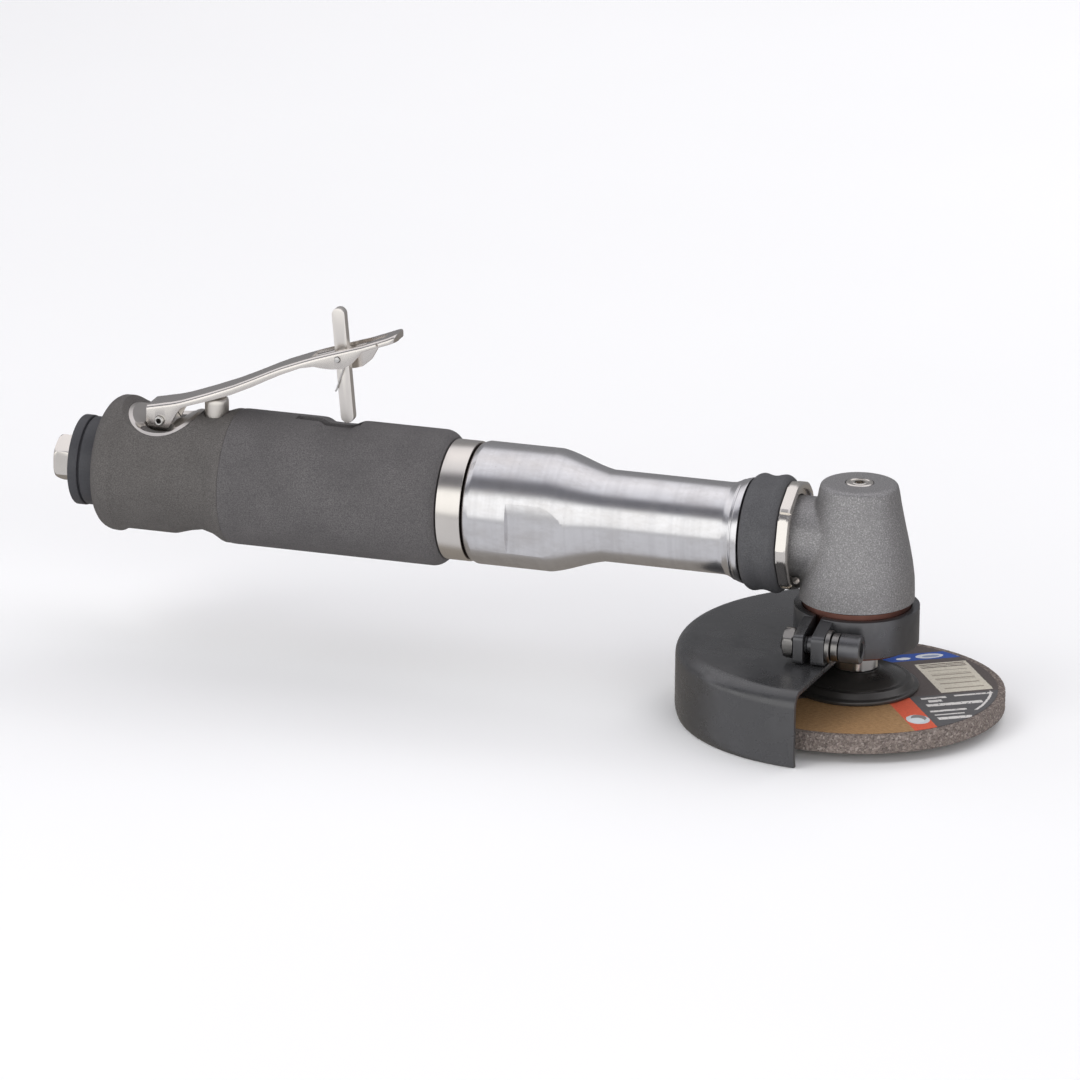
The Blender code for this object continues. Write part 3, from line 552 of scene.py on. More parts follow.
# Each station of a grip: x, the radius at the underside and the radius at the crown.
REAR_STATIONS = [
    (-268.1, 18.0, 18.0), (-268.1, 16.0, 16.0), (-268.7, 16.0, 16.0), (-268.7, 17.6, 17.6),
    (-268.3, 19.2, 19.3), (-267.5, 20.7, 20.9), (-266.1, 22.1, 22.7), (-264.0, 23.0, 23.9),
    (-261.0, 23.2, 24.0), (-259.6, 22.2, 23.8), (-258.0, 22.0, 23.2), (-249.0, 22.0, 22.3),
    (-241.3, 22.0, 22.0), (-236.2, 20.5, 21.8), (-231.6, 19.7, 21.6), (-227.0, 20.9, 21.6),
    (-222.9, 23.1, 23.1), (-221.6, 23.3, 23.3), (-220.9, 23.1, 23.1), (-220.9, 18.0, 18.0),
]
MAIN_STATIONS = [
    (-220.8, 19.5, 19.5), (-220.8, 23.1, 23.1), (-220.3, 23.35, 23.35), (-219.0, 23.4, 23.4),
    (-193.0, 23.4, 23.4), (-190.9, 23.4, 23.35), (-188.6, 23.4, 22.0), (-184.0, 23.4, 21.9),
    (-179.5, 23.4, 22.0), (-177.0, 23.4, 23.3), (-175.0, 23.4, 23.4), (-147.6, 23.4, 23.4),
    (-146.2, 23.1, 23.1), (-144.8, 22.3, 22.3), (-143.8, 21.2, 21.2), (-143.7, 20.6, 20.6),
    (-143.7, 19.5, 19.5),
]


def grip(name, stations, lead, spread, power, look, reach):
    """A sleeve whose crown and underside follow different lines."""
    inner_first = stations[:lead]
    outer = stations[lead:-1]
    inner_last = stations[-1]
    xs = np.array([s[0] + 1e-4 * i for i, s in enumerate(outer)])
    at = np.linspace(xs[0], xs[-1], 110)
    under = smooth_line(xs, np.array([s[1] for s in outer]), at, reach)
    crown = smooth_line(xs, np.array([s[2] for s in outer]), at, reach)
    count = 180
    loops = [at_tool(x, circle(r, count)) for x, r, _ in inner_first]
    for x, low, high in zip(at, under, crown):
        loop = []
        for i in range(count):
            angle = 2 * math.pi * i / count
            share = min(1.0, max(0.0, math.sin(angle) * (1 + spread) - spread)) ** power
            r = low + (high - low) * share
            loop.append((x, r * math.cos(angle), TOOL_Z + r * math.sin(angle)))
        loops.append(loop)
    loops.append(at_tool(inner_last[0], circle(inner_last[1], count)))
    return loft(name, loops, look, ring=True, sharp=48.0)


PIN_X, PIN_Z = -247.3, 75.7
BUTTON_X = -228.7
POCKET_X, POCKET_Z, POCKET_R = -246.8, 89.6, 16.0
LINING, LINING_R = 1.0, 21.6
EAR_ROOM_R, EAR_ROOM_HALF, EAR_ROOM_END = 5.4, 7.6, 14.5


def pocket_line(radius):
    return arc(POCKET_X, POCKET_Z, radius, -160, -20, 81)


def open_upwards(line, top=97.0):
    return line + [(line[-1][0], top), (line[0][0], top)]


rear = grip("rear_grip_cover", REAR_STATIONS, 2, 0.0, 1.5, REAR, 0.6)
combine(rear, plate_y("pocket", open_upwards(pocket_line(POCKET_R + LINING + 0.1)), -30, 30))
combine(rear, rod("bore", (BUTTON_X, 0, 68), (BUTTON_X, 0, 90), 4.45, None, 64))
stands_for(rear, "rear_grip")

main = grip("main_grip_cover", MAIN_STATIONS, 1, 1.2, 0.5, GRIP, 0.6)
groove = [(-199.6, 90.0), (-199.6, 79.4), (-197.6, 77.6), (-177.4, 77.6), (-176.2, 78.6), (-176.2, 90.0)]
combine(main, plate_y("groove", groove, -1.95, 1.95))
stands_for(main, "main_grip")

body = ring_x(
    "valve_section",
    [(-267.9, 6.9), (-267.9, 17.6), (-223.0, 17.6), (-223.0, 4.0), (-256.0, 4.0), (-257.0, 6.9)],
    ALUMINIUM, 0.4, 128,
)
LUG_R, LUG_HALF = 2.55, 4.7
lug = [(-257.0, 66.0), (-257.0, 72.6), (-253.0, 73.0), (-251.0, 74.2)]
lug += arc(PIN_X, PIN_Z, LUG_R, 180, 0, 25) + [(-243.6, 74.2), (-241.5, 73.0), (-238.0, 72.6), (-238.0, 66.0)]
combine(body, plate_y("lug", lug, -LUG_HALF, LUG_HALF), "UNION")
combine(body, rod("pin_bore", (PIN_X, -9, PIN_Z), (PIN_X, 9, PIN_Z), 1.75, None, 32))
saddle = ring_x("saddle", [(-264.0, 12.0), (-264.0, LINING_R), (-230.0, LINING_R), (-230.0, 12.0)], None, 0.1)
strip = pocket_line(POCKET_R + LINING) + pocket_line(POCKET_R)[::-1]
combine(saddle, plate_y("strip", strip, -30, 30), "INTERSECT")
combine(body, saddle, "UNION")
narrow = open_upwards(arc(PIN_X, PIN_Z, EAR_ROOM_R, -180, 0, 81), 90.0)
wide = open_upwards(pocket_line(POCKET_R - 0.3), 93.0)
for way in (-1, 1):
    combine(body, plate_y("side_cut", open_upwards(pocket_line(POCKET_R)), way * 5.1, way * 30))
    room = [(LUG_HALF + 0.02, narrow), (EAR_ROOM_HALF, narrow), (EAR_ROOM_END, wide), (20.0, wide)]
    combine(body, loft("ear_room", [[(x, way * y, z) for x, z in line] for y, line in room], None))
combine(body, rod("button_bore", (BUTTON_X, 0, TOOL_Z + 8), (BUTTON_X, 0, 90), 4.35, None, 48))
combine(body, rod("stem_bore", (BUTTON_X, 0, TOOL_Z), (BUTTON_X, 0, TOOL_Z + 10), 2.6, None, 48))
stands_for(body, "valve_body")

# ------------------------------------------------------------------ ring, extension and nut

stands_for(ring_x(
    "nickel_lock_ring",
    [(-143.3, 16.9), (-143.3, 20.65), (-134.7, 20.65), (-134.7, 16.9)], NICKEL, 0.35, 192,
), "lock_ring")

EXTENSION = [
    (-142.6, 14.0), (-142.6, 16.6), (-134.4, 16.6), (-134.4, 19.6), (-133.4, 20.4), (-131.7, 21.1),
    (-106.0, 21.1),
]
for i in range(1, 20):
    t = i / 20
    ease = t * t * (3 - 2 * t)
    x = -106.0 + 18.6 * t
    EXTENSION.append((x, 21.1 + (15.75 - 21.1) * (0.55 * t + 0.45 * ease)))
EXTENSION += [(-87.4, 15.7), (-45.6, 15.7), (-43.8, 15.9), (-42.2, 16.6), (-41.0, 17.3), (-40.8, 17.0),
              (-40.4, 17.0), (-40.2, 17.5), (-37.8, 18.2)]
EXTENSION += [(-37.5, 14.6), (-24.6, 14.6), (-24.6, 10.5), (-100.0, 10.5), (-106.0, 14.0)]
barrel = ring_x("steel_extension", EXTENSION, BARREL, 0.4, 216)
ABOUT_TOOL = Matrix.Translation((0, 0, TOOL_Z * MM))
FLAT_HALF, FLAT_TURN = 19.0, 6.6
for low, high in ((-30.0, -FLAT_HALF), (FLAT_HALF, 30.0)):
    flat = block("flat", (-118.5, low, -20), (-94.0, high, 20))
    flat.data.transform(ABOUT_TOOL @ Matrix.Rotation(math.radians(FLAT_TURN), 4, "X"))
    flat.data.materials.append(FLAT)
    combine(barrel, flat)
stands_for(barrel, "extension_housing")

boot = [
    (-37.2, 14.9), (-37.2, 18.1), (-36.5, 19.1), (-35.5, 19.75), (-34.5, 20.0), (-33.5, 19.85), (-32.4, 19.5),
    (-31.0, 19.35), (-29.4, 19.55), (-28.2, 19.95), (-26.9, 20.2), (-25.8, 19.95), (-24.9, 19.3),
    (-24.3, 18.6), (-24.3, 14.9),
]
stands_for(ring_x("ribbed_boot", boot, BOOT, 0.5, 168), "boot_ring")

NUT_PHASE = math.radians(28.5)
nut = [at_tool(-24.0, circle(14.3, 160))]
for x, flat_r, clip in ((-24.0, 17.9, 18.4), (-23.8, 18.2, 18.8), (-23.3, 18.25, 19.0), (-20.9, 18.25, 19.0),
                        (-20.3, 18.1, 18.6), (-19.9, 17.5, 17.9)):
    nut.append(at_tool(x, polygon(flat_r, 8, 160, clip, NUT_PHASE)))
nut += [at_tool(x, circle(r, 160)) for x, r in ((-19.9, 16.4), (-20.2, 16.1), (-21.2, 15.8), (-21.2, 14.3))]
nut_piece = loft("coupling_nut_body", nut, NICKEL, ring=True, sharp=12.0)
for k in range(4):
    angle = NUT_PHASE + math.pi / 8 + math.pi / 2 * k
    slot = block("slot", (-26.0, 17.9, -0.75), (-18.0, 22.0, 0.75))
    slot.data.transform(ABOUT_TOOL @ Matrix.Rotation(angle, 4, "X"))
    combine(nut_piece, slot)
settle(nut_piece, 12.0)
stands_for(nut_piece, "coupling_nut")

# ------------------------------------------------------------------ head

CONE = [(35.0, 19.5), (37.3, 19.5), (41.0, 19.45), (45.0, 19.3), (50.2, 18.6), (56.0, 17.5), (62.3, 16.1),
        (70.0, 14.5), (75.2, 13.6)]
cone_line = soften(CONE + [(77.8, 12.9), (77.8, 6.0)], 2.2, 10, closed=False)
head = loft("head_shape", [at_spindle(z, circle(r, 128)) for z, r in cone_line], None)
BOSS_R = 13.9
boss = rod("boss", (-26.0, 0, TOOL_Z), (-2.0, 0, TOOL_Z), BOSS_R, None, 128)
combine(head, boss, "UNION")
remesh = head.modifiers.new("even", "REMESH")
remesh.mode = "VOXEL"
remesh.voxel_size = 0.42 * MM
settle(head)
work = bmesh.new()
work.from_mesh(head.data)


def cone_radius(z):
    return float(np.interp(z, [z for z, _ in CONE], [r for _, r in CONE]))


# The corner between the boss and the cone is smoothed until it reads as a cast fillet.
FILLET_REACH = 2.6
joint_ring = []
for vert in work.verts:
    x, y, z = (c / MM for c in vert.co)
    away = abs(math.hypot(y, z - TOOL_Z) - BOSS_R)
    off = abs(math.hypot(x, y) - cone_radius(z))
    if x < -2 and away < FILLET_REACH and off < FILLET_REACH:
        joint_ring.append(vert)
for verts, times in ((joint_ring, 28), (work.verts, 2)):
    for _ in range(times):
        bmesh.ops.smooth_vert(work, verts=verts, factor=0.5, use_axis_x=True, use_axis_y=True,
                              use_axis_z=True)
work.to_mesh(head.data)
work.free()
combine(head, block("foot_cut", (-40, -40, 20), (40, 40, 37.3)))
combine(head, block("boss_cut", (-40, -40, 20), (-24.2, 40, 90)))
room = [(36.0, 13.5), (57.0, 13.5), (61.5, 9.4), (61.5, 7.3), (72.0, 7.3), (72.0, 2.7), (76.2, 2.7),
        (76.2, 4.95), (80.0, 4.95)]
combine(head, loft("room", [at_spindle(z, circle(r, 64)) for z, r in room], None))
combine(head, rod("pinion_room", (-30, 0, TOOL_Z), (-3, 0, TOOL_Z), 10.5, None, 64))
head.name = "bevel_head"
head.data.materials.clear()
head.data.materials.append(HEAD)
settle(head, 50.0)
stands_for(head, "gearhead_housing")

PLUG_LINE = ((73.0, 2.4), (76.5, 2.4), (76.5, 4.7), (77.75, 4.7), (78.0, 4.5), (78.1, 4.2), (78.1, 3.7),
             (77.85, 3.5), (77.85, 2.6), (78.0, 2.4))
plug = [at_spindle(z, circle(r, 72)) for z, r in PLUG_LINE]
plug += [at_spindle(z, polygon(1.6, 6, 72)) for z in (78.0, 75.6)]
stands_for(loft("top_plug", plug, NICKEL), "cap_plug")

stands_for(ring_z(
    "bronze_neck",
    [(9.2, 20.6), (18.4, 20.6), (18.4, 36.9), (11.4, 36.9), (11.4, 23.4), (9.2, 23.4)], BRONZE, 0.4, 128,
), "bearing_cap")

# ------------------------------------------------------------------ clamp

CLAMP_IN, COLLAR_R = 18.7, 21.3
GAP_LEFT, GAP_RIGHT, EAR_LEFT, EAR_RIGHT = -9.9, -7.0, -13.2, -2.6
BOLT_Y, BOLT_Z = -27.5, 28.2


def angle_at(x, radius):
    return -math.degrees(math.acos(x / radius))


outline = arc(0, 0, CLAMP_IN, angle_at(GAP_RIGHT, CLAMP_IN), 360 + angle_at(GAP_LEFT, CLAMP_IN), 120)
outline += arc(0, 0, COLLAR_R, 360 + angle_at(GAP_LEFT, COLLAR_R), angle_at(GAP_RIGHT, COLLAR_R), 120)
clamp = loft("split_collar", [at_spindle(z, outline) for z in (22.2, 35.0)], OXIDE)
ear = soften([(-17.6, 34.9), (-20.2, 34.9), (-32.2, 32.2), (-32.2, 22.3), (-17.6, 22.3)], 1.6, 6)
for low, high in ((EAR_LEFT, GAP_LEFT), (GAP_RIGHT, EAR_RIGHT)):
    piece = loft("ear", [[(x, y, z) for y, z in ear] for x in (low, high)], None)
    combine(clamp, piece, "UNION")
combine(clamp, rod("ear_bore", (-20, BOLT_Y, BOLT_Z), (5, BOLT_Y, BOLT_Z), 3.2, None, 48))
edge(clamp, 0.35, 50.0)
stands_for(clamp, "clamp_collar")


def at_bolt(x, flat):
    return [(x, BOLT_Y + a, BOLT_Z + b) for a, b in flat]


bolt = [at_bolt(-18.4, circle(2.3, 72)), at_bolt(-18.0, circle(2.7, 72))]
for i in range(9):
    bolt += [at_bolt(-17.8 + i, circle(2.9, 72)), at_bolt(-17.3 + i, circle(2.45, 72))]
BOLT_HEAD = ((-8.8, 2.9), (2.3, 2.9), (2.3, 4.6), (2.5, 4.9), (8.7, 4.9), (9.1, 4.85), (9.4, 4.6), (9.5, 4.2),
             (9.5, 3.1), (9.3, 2.95))
bolt += [at_bolt(x, circle(r, 72)) for x, r in BOLT_HEAD]
bolt += [at_bolt(x, polygon(2.5, 6, 72)) for x in (9.2, 6.2)]
stands_for(loft("clamp_screw", bolt, OXIDE), "clamp_bolt")


def washer(name, low, high, inner, outer, node, reach):
    profile = soften([(low, inner), (low, outer), (high, outer), (high, inner)], reach)
    piece = loft(name, [at_bolt(x, circle(r, 72)) for x, r in profile], STEEL_DARK, ring=True)
    stands_for(piece, node)


washer("flat_washer", -2.3, -0.7, 3.2, 5.6, "clamp_washer", 0.3)
washer("spring_washer", -0.4, 2.0, 3.2, 4.8, "lock_washer", 0.35)
nut_loops = [at_bolt(-13.5, circle(3.2, 72))]
for x, clip in ((-13.5, 4.9), (-13.9, 5.45), (-16.5, 5.45), (-17.0, 4.9)):
    nut_loops.append(at_bolt(x, polygon(4.85, 6, 72, clip)))
nut_loops.append(at_bolt(-17.0, circle(3.2, 72)))
stands_for(loft("clamp_hex_nut", nut_loops, STEEL_DARK, ring=True), "clamp_nut")

# ------------------------------------------------------------------ guard

GUARD_R, GUARD_TOP, GUARD_FOOT, SHEET = 61.0, 21.9, -4.4, 2.0
section = [(18.9, GUARD_TOP), (38.0, GUARD_TOP)]
section += arc(GUARD_R - 5.5, GUARD_TOP - 5.5, 5.5, 90, 0, 14)
section += [(GUARD_R, 4.0), (GUARD_R, -0.9), (GUARD_R - 0.3, -2.8), (GUARD_R - 0.9, GUARD_FOOT)]
section += [(GUARD_R - SHEET - 0.8, GUARD_FOOT), (GUARD_R - SHEET - 0.2, -2.6), (GUARD_R - SHEET, -0.9)]
section += [(GUARD_R - SHEET, 4.0)]
section += arc(GUARD_R - 5.5, GUARD_TOP - 5.5, 3.5, 0, 90, 12)
section += [(38.0, GUARD_TOP - SHEET), (18.9, GUARD_TOP - SHEET)]
section = soften(section, 0.45, 4)
GUARD_START, GUARD_SPAN, GUARD_STEPS = 88.9, 177.0, 120
loops = []
for i in range(GUARD_STEPS + 1):
    around = math.radians(GUARD_START + GUARD_SPAN * i / GUARD_STEPS)
    loops.append([(r * math.cos(around), r * math.sin(around), z) for r, z in section])
guard = loft("half_guard", loops, GUARD)
edge(guard, 0.4, 60.0)
stands_for(guard, "guard")

# ------------------------------------------------------------------ spindle, flange and wheel

spindle = []
for z, r in ((0.0, 3.9), (0.5, 4.4)):
    spindle.append(at_spindle(z, circle(r, HEX)))
for i in range(12):
    spindle += [at_spindle(0.8 + i, circle(4.75, HEX)), at_spindle(1.3 + i, circle(4.35, HEX))]
spindle.append(at_spindle(13.0, circle(4.75, HEX)))
for z, clip in ((13.0, 7.5), (13.5, 8.1), (19.8, 8.1), (20.3, 7.5)):
    spindle.append(at_spindle(z, polygon(7.2, 6, HEX, clip, math.radians(20))))
SHANK = ((20.3, 5.1), (48.6, 5.1), (49.4, 4.0), (60.0, 3.0), (71.0, 3.0))
spindle += [at_spindle(z, circle(r, HEX)) for z, r in SHANK]
stands_for(loft("hex_spindle", spindle, STEEL_Z), "spindle")

flange = [
    (5.05, 4.4), (5.05, 12.7), (8.3, 12.7), (8.9, 12.3), (10.4, 12.0), (13.4, 11.1), (16.6, 9.7), (19.4, 7.9),
    (20.2, 7.2), (21.7, 6.9), (21.7, 5.7), (20.9, 5.7), (18.9, 9.3), (7.7, 9.3), (7.7, 4.4),
]
stands_for(ring_z("domed_flange", flange, FLANGE, 0.45, 160), "backing_flange")

WHEEL_R, WHEEL_BOTTOM, WHEEL_TOP = 51.0, -1.0, 5.35
rim = [(8.0, 4.2), (19.4, 4.2), (22.4, WHEEL_BOTTOM)]
rim += [(r, WHEEL_BOTTOM) for r in np.linspace(26, 50.6, 28)]
rim += [(WHEEL_R, z) for z in np.linspace(WHEEL_BOTTOM + 0.25, WHEEL_TOP - 0.25, 15)]
rim += [(r, WHEEL_TOP) for r in np.linspace(50.6, 46.0, 9)]
rim += [(22.0, WHEEL_TOP), (20.2, WHEEL_TOP), (18.2, 9.0), (8.0, 9.0)]
SEGMENTS = 420
verts_loops = []
for r, z in rim:
    loop = []
    for i in range(SEGMENTS):
        around = 2 * math.pi * i / SEGMENTS
        c, s = math.cos(around), math.sin(around)
        if r > 24:
            spot = Vector((r * c, r * s, z)) * 0.95
            rough = 0.5 + 0.5 * noise.noise(spot) + 0.35 * noise.noise(spot * 2.6)
            dig = 0.28 * max(0.0, min(1.0, rough))
            if r >= WHEEL_R - 0.5:
                loop.append(((r - dig) * c, (r - dig) * s, z))
            elif z < 0:
                loop.append((r * c, r * s, z + dig * 0.7))
            else:
                loop.append((r * c, r * s, z - dig * 0.5))
        else:
            loop.append((r * c, r * s, z))
    verts_loops.append(loop)
wheel = loft("grit_wheel", verts_loops, GRIT, ring=True, sharp=80.0)
stands_for(wheel, "grinding_wheel")

label_profile = [(21.0, WHEEL_TOP + 0.02), (48.4, WHEEL_TOP + 0.02), (48.4, WHEEL_TOP + 0.09),
                 (21.0, WHEEL_TOP + 0.09)]
label = loft("paper_label", [at_spindle(z, circle(r, 240)) for r, z in label_profile], LABEL, ring=True)
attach(label, BODY_OF["grinding_wheel"])

locknut = ring_z(
    "flange_nut_body",
    [(5.05, 0.4), (10.0, 0.4), (10.0, 1.9), (14.8, 1.9), (14.8, 3.9), (5.05, 3.9)], STEEL_Z, 0.4, 128,
)
for side in (-1, 1):
    combine(locknut, rod("spanner", (side * 7.4, 0, -2), (side * 7.4, 0, 1.6), 1.3, None, 40))
stands_for(locknut, "flange_nut")

# ------------------------------------------------------------------ throttle lever

# Each station of the lever: x, its top, and the lower edges of the near and the far side.
LEVER_LINE = [
    (-252.2, 80.4, 75.3, 75.3), (-251.6, 80.7, 73.4, 73.4), (-250.6, 80.9, 72.2, 72.2),
    (-249.0, 81.2, 71.6, 71.6), (-246.6, 81.8, 71.6, 71.6), (-245.0, 82.1, 72.3, 72.3),
    (-243.8, 82.4, 73.8, 73.8), (-242.6, 82.7, 76.4, 76.4), (-241.2, 83.1, 79.0, 79.0),
    (-239.6, 83.6, 81.0, 81.0), (-235.0, 85.3, 82.6, 82.6), (-230.0, 87.2, 84.3, 84.3),
    (-221.4, 90.7, 87.5, 87.5), (-214.0, 94.2, 91.0, 91.0), (-208.0, 97.2, 94.2, 94.2),
    (-203.7, 99.2, 96.4, 96.4), (-196.5, 102.1, 99.6, 99.6), (-191.7, 103.9, 100.6, 100.6),
    (-188.5, 105.0, 100.3, 100.0), (-185.3, 106.1, 100.3, 98.6), (-181.0, 107.5, 100.9, 97.9),
    (-177.7, 108.6, 103.2, 98.9), (-174.6, 109.6, 107.2, 101.6), (-171.6, 110.8, 108.6, 107.4),
    (-168.0, 112.2, 109.9, 109.9), (-164.4, 113.7, 111.2, 111.2), (-162.6, 114.4, 111.8, 111.8),
]
table = np.array(LEVER_LINE)
at = np.linspace(-252.2, -162.6, 320)
top_line = smooth_line(table[:, 0], table[:, 1], at, 1.0)
near_line = smooth_line(table[:, 0], table[:, 2], at, 0.5)
far_line = smooth_line(table[:, 0], table[:, 3], at, 0.5)
HALF, LEAF, BEND_R = 6.25, 1.2, 1.5
loops = []
for x, top, near, far in zip(at, top_line, near_line, far_line):
    w = HALF
    if x > -165.6:
        w = 2.6 + (HALF - 2.6) * math.sqrt(max(0.0, 1 - ((x + 165.6) / 3.0) ** 2))
    outer_left = arc(-w + BEND_R, top - BEND_R, BEND_R, 180, 90, 7)
    outer_right = arc(w - BEND_R, top - BEND_R, BEND_R, 90, 0, 7)
    low_left, low_right = min(near, top - BEND_R - 0.1), min(far, top - BEND_R - 0.1)
    filled = min(1.0, max(0.0, (x + 165.4) / 1.2))
    r_in = (BEND_R - LEAF + 0.2) * (1 - filled) + 0.02
    roof = top - LEAF - filled * (top - LEAF - r_in - low_left - 0.03)
    inner_right = arc(w - LEAF - r_in, roof - r_in, r_in, 0, 90, 5)
    inner_left = arc(-w + LEAF + r_in, roof - r_in, r_in, 90, 180, 5)
    shape = [(-w, low_left)] + outer_left + outer_right + [(w, low_right), (w - LEAF, low_right)]
    shape += inner_right + inner_left + [(-w + LEAF, low_left)]
    loops.append([(x, y, z) for y, z in shape])
lever = loft("channel_lever", loops, LEVER, sharp=40.0)
combine(lever, rod("pin_hole", (PIN_X, -9, PIN_Z), (PIN_X, 9, PIN_Z), 1.75, None, 48))
TAB_X, TAB_Z = -183.1, 104.0
combine(lever, rod("tab_hole", (TAB_X, -9, TAB_Z), (TAB_X, 9, TAB_Z), 1.15, None, 32))
combine(lever, block("tab_slot", (-193.4, -4.6, 101.6), (-173.6, 4.6, 118.0)))
combine(lever, block("folded_tab_slot", (-174.0, -2.05, 101.6), (-167.6, 2.05, 118.0)))
combine(lever, rod("end_hole", (-169.0, -9, 110.7), (-169.0, -4, 110.7), 0.5, None, 24))
settle(lever, 40.0)
stands_for(lever, "throttle_lever")

pin_line = soften([(-7.7, 0.8), (-7.7, 1.6), (7.7, 1.6), (7.7, 0.8)], 0.35)
pin = [[(PIN_X + a, y, PIN_Z + b) for a, b in circle(r, 48)] for y, r in pin_line]
stands_for(loft("lever_roll_pin", pin, STEEL_Z, ring=True), "lever_pin")
pin_ends = [(-7.1, 0.5), (-7.05, 0.8), (-6.8, 1.0), (6.8, 1.0), (7.05, 0.8), (7.1, 0.5)]
rivet = [[(TAB_X + a, y, TAB_Z + b) for a, b in circle(r, 32)] for y, r in pin_ends]
stands_for(loft("tab_rivet", rivet, STEEL_Z), "tab_pin")

TAB_HALF, TAB_THICK, TAB_UP, TAB_DOWN = 2.3, 1.6, 16.8, 23.8
lean = math.radians(5.4)
upright = arc(0, TAB_UP - TAB_HALF, TAB_HALF, 0, 180, 25)
upright += arc(0, TAB_HALF - TAB_DOWN, TAB_HALF, 180, 360, 25)
tab_outline = []
for a, b in upright:
    x = TAB_X + a * math.cos(lean) - b * math.sin(lean)
    tab_outline.append((x, TAB_Z + a * math.sin(lean) + b * math.cos(lean)))
tab = plate_y("lock_off_bar", tab_outline, -TAB_THICK, TAB_THICK, TAB)
combine(tab, rod("tab_bore", (TAB_X, -5, TAB_Z), (TAB_X, 5, TAB_Z), 1.15, None, 32))
edge(tab, 0.3, 60.0)
stands_for(tab, "lock_off_tab")

coil = []
for i in range(97):
    angle = math.radians(-60 + 7.5 * i)
    coil.append((TAB_X + 1.5 * math.cos(angle), -4.2 + 1.8 * i / 96, TAB_Z + 1.5 * math.sin(angle)))
leg = [(TAB_X + 1.2, -2.1, TAB_Z - 3.2), (TAB_X - 1.6, -2.1, TAB_Z - 12.0), (TAB_X - 2.0, -2.0, TAB_Z - 12.6)]
stands_for(tube("tab_torsion_spring", coil + leg, 0.28, STEEL_Z), "tab_spring")

button = [(58.1, 1.6), (58.7, 2.3), (73.3, 2.3), (73.3, 4.15)]
button += soften([(73.3, 4.15), (84.5, 4.15), (84.5, 0.8)], 2.4, 14, closed=False)[1:]
shape = [[(BUTTON_X + a, b, z) for a, b in circle(r, 72)] for z, r in button]
stands_for(loft("throttle_button", shape, BUTTON), "valve_plunger")

SPRING_FOOT, SPRING_LENGTH, SPRING_R, BUTTON_TRAVEL = TOOL_Z + 8.6, 7.4, 3.25, 3.4
coil = []
for i in range(4 * 24 + 1):
    angle = 2 * math.pi * i / 24
    z = SPRING_FOOT + SPRING_LENGTH * i / 96
    coil.append((BUTTON_X + SPRING_R * math.cos(angle), SPRING_R * math.sin(angle), z))
spring = tube("button_spring", coil, 0.38, STEEL_Z)
stands_for(spring, "valve_spring")
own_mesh(spring)

# ------------------------------------------------------------------ studio

FLOOR_Z, FLOOR_HALF = -4.45, 4000
corners = [(FLOOR_HALF * a, FLOOR_HALF * b, FLOOR_Z) for a, b in ((-1, -1), (1, -1), (1, 1), (-1, 1))]
floor = make("floor", corners, [(0, 1, 2, 3)], None)
floor_look = Nodes("studio_floor")
dust = floor_look.noise(3.0, 3.0)
floor_tone = floor_look.ramp(dust, (0.3, 0.9), (0.7, 0.92))
floor.data.materials.append(floor_look.set(Base_Color=floor_tone, Roughness=0.9))
floor.visible_glossy = False

world = bpy.data.worlds.new("studio")
bpy.context.scene.world = world
world.use_nodes = True
tree = world.node_tree
tree.nodes.clear()
coords = tree.nodes.new("ShaderNodeTexCoord")
parts = tree.nodes.new("ShaderNodeSeparateXYZ")
tree.links.new(coords.outputs["Generated"], parts.inputs[0])
flip = tree.nodes.new("ShaderNodeMath")
flip.operation = "MULTIPLY"
flip.inputs[1].default_value = -1.0
tree.links.new(parts.outputs[1], flip.inputs[0])
angle_node = tree.nodes.new("ShaderNodeMath")
angle_node.operation = "ARCTAN2"
tree.links.new(parts.outputs[2], angle_node.inputs[0])
tree.links.new(flip.outputs[0], angle_node.inputs[1])
share_node = tree.nodes.new("ShaderNodeMath")
share_node.operation = "MULTIPLY_ADD"
share_node.inputs[1].default_value = 1 / (2 * math.pi)
share_node.inputs[2].default_value = 0.5
tree.links.new(angle_node.outputs[0], share_node.inputs[0])
ramp = tree.nodes.new("ShaderNodeValToRGB")
tree.links.new(share_node.outputs[0], ramp.inputs[0])
# Angle round the tool's axis, 0 straight at the front and 90 overhead, and how bright the studio is there.
CARDS = [
    (-180, (0.24, 0.24, 0.25)), (-150, (0.25, 0.23, 0.21)), (-90, (0.3, 0.28, 0.26)),
    (-78, (0.62, 0.62, 0.65)), (-20, (0.66, 0.66, 0.69)), (-15, (0.3, 0.3, 0.32)),
    (-10, (1.15, 1.15, 1.15)), (31, (1.3, 1.3, 1.3)),
    (41, (0.16, 0.16, 0.18)), (62, (0.15, 0.15, 0.17)), (74, (0.8, 0.8, 0.85)), (108, (1.05, 1.03, 1.06)),
    (134, (0.85, 0.84, 0.88)), (144, (0.26, 0.26, 0.27)), (180, (0.24, 0.24, 0.25)),
]
stops = ramp.color_ramp.elements
while len(stops) < len(CARDS):
    stops.new(0.5)
for stop, (turn, colour) in zip(stops, CARDS):
    stop.position = turn / 360 + 0.5
    stop.color = (*colour, 1.0)
seen = tree.nodes.new("ShaderNodeLightPath")
cards = tree.nodes.new("ShaderNodeBackground")
cards.inputs["Strength"].default_value = 1.0
tree.links.new(ramp.outputs[0], cards.inputs[0])
white = tree.nodes.new("ShaderNodeBackground")
white.inputs[0].default_value = (1.0, 1.0, 1.0, 1.0)
white.inputs["Strength"].default_value = 1.0
choose = tree.nodes.new("ShaderNodeMixShader")
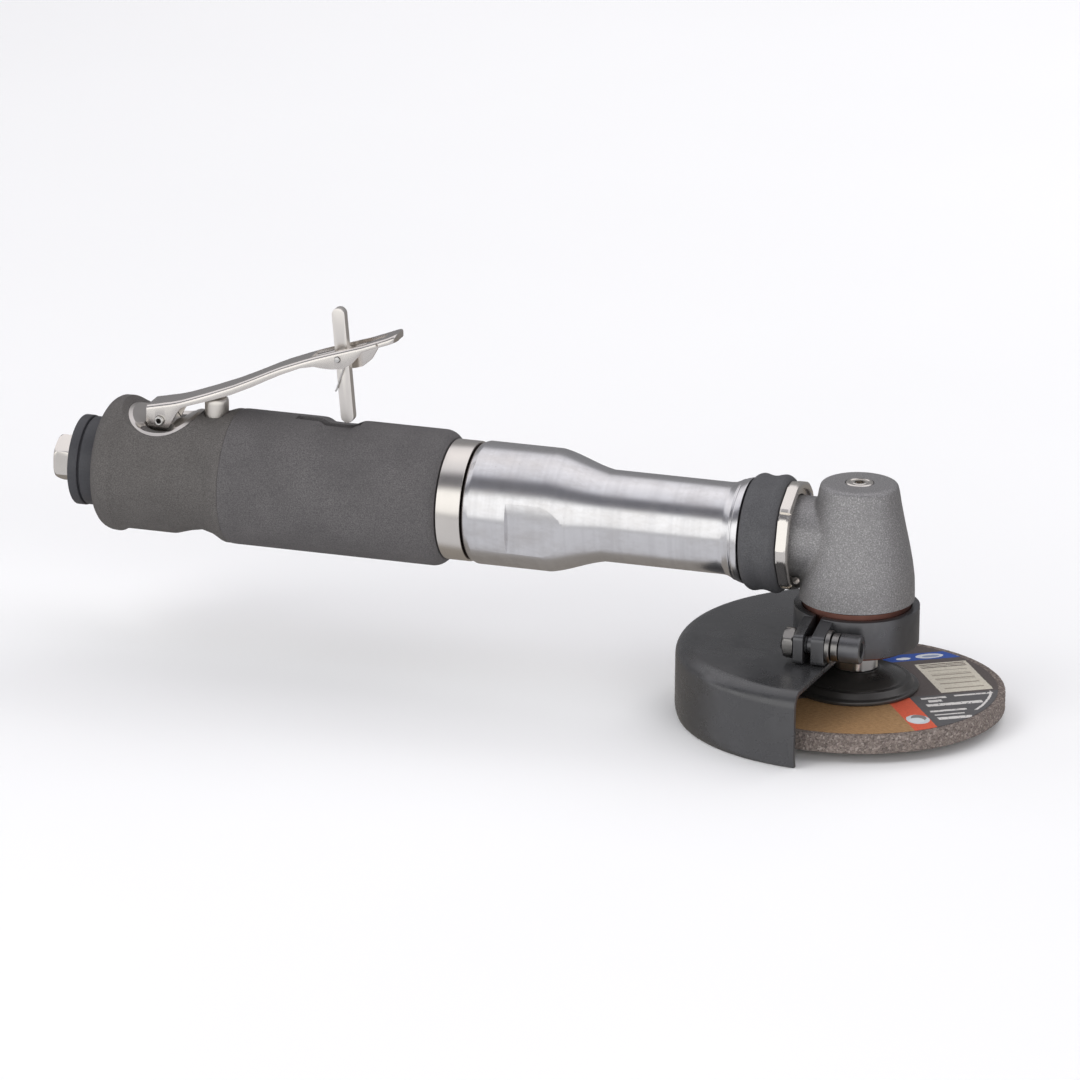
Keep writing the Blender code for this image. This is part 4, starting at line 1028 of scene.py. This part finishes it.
tree.links.new(seen.outputs["Is Camera Ray"], choose.inputs[0])
tree.links.new(cards.outputs[0], choose.inputs[1])
tree.links.new(white.outputs[0], choose.inputs[2])
sky = tree.nodes.new("ShaderNodeOutputWorld")
tree.links.new(choose.outputs[0], sky.inputs[0])


def area_light(name, place, aim, width, height, watts):
    data = bpy.data.lights.new(name, "AREA")
    data.shape = "RECTANGLE"
    data.size, data.size_y = width, height
    data.energy = watts
    lamp = bpy.data.objects.new(name, data)
    bpy.context.scene.collection.objects.link(lamp)
    lamp.location = place
    lamp.rotation_euler = (Vector(aim) - Vector(place)).to_track_quat("-Z", "Y").to_euler()
    lamp.visible_glossy = False


CENTRE = (-0.11, 0.0, 0.04)
area_light("key_softbox", (-0.9, -0.9, 1.3), CENTRE, 0.9, 0.9, 9.0)
area_light("fill_softbox", (0.9, -1.1, 0.5), CENTRE, 0.8, 0.8, 5.0)
area_light("back_softbox", (0.2, 1.1, 1.0), CENTRE, 0.9, 0.6, 5.0)

# ------------------------------------------------------------------ camera

yaw, pitch, roll = math.radians(17.19), math.radians(18.34), math.radians(0.63)
forward = Vector((-math.sin(yaw) * math.cos(pitch), math.cos(yaw) * math.cos(pitch), -math.sin(pitch)))
right = Vector((math.cos(yaw), math.sin(yaw), 0.0))
up = right.cross(forward)
across = right * math.cos(roll) + up * math.sin(roll)
above = up * math.cos(roll) - right * math.sin(roll)
TARGET = Vector((-90.0, 0.0, 59.0))
OFF_X, OFF_Y, DISTANCE = 21.3, 10.8, 3003.0
eye = TARGET - across * OFF_X - above * OFF_Y - forward * DISTANCE
camera_data = bpy.data.cameras.new("camera")
camera_data.sensor_width = 36.0
camera_data.lens = 294.9
camera_data.clip_end = 100.0
camera = bpy.data.objects.new("camera", camera_data)
bpy.context.scene.collection.objects.link(camera)
turn = Matrix((across, above, -forward)).transposed().to_4x4()
camera.matrix_world = Matrix.Translation(eye * MM) @ turn
bpy.context.scene.camera = camera
bpy.context.scene.view_settings.view_transform = "Standard"

bpy.context.view_layer.update()
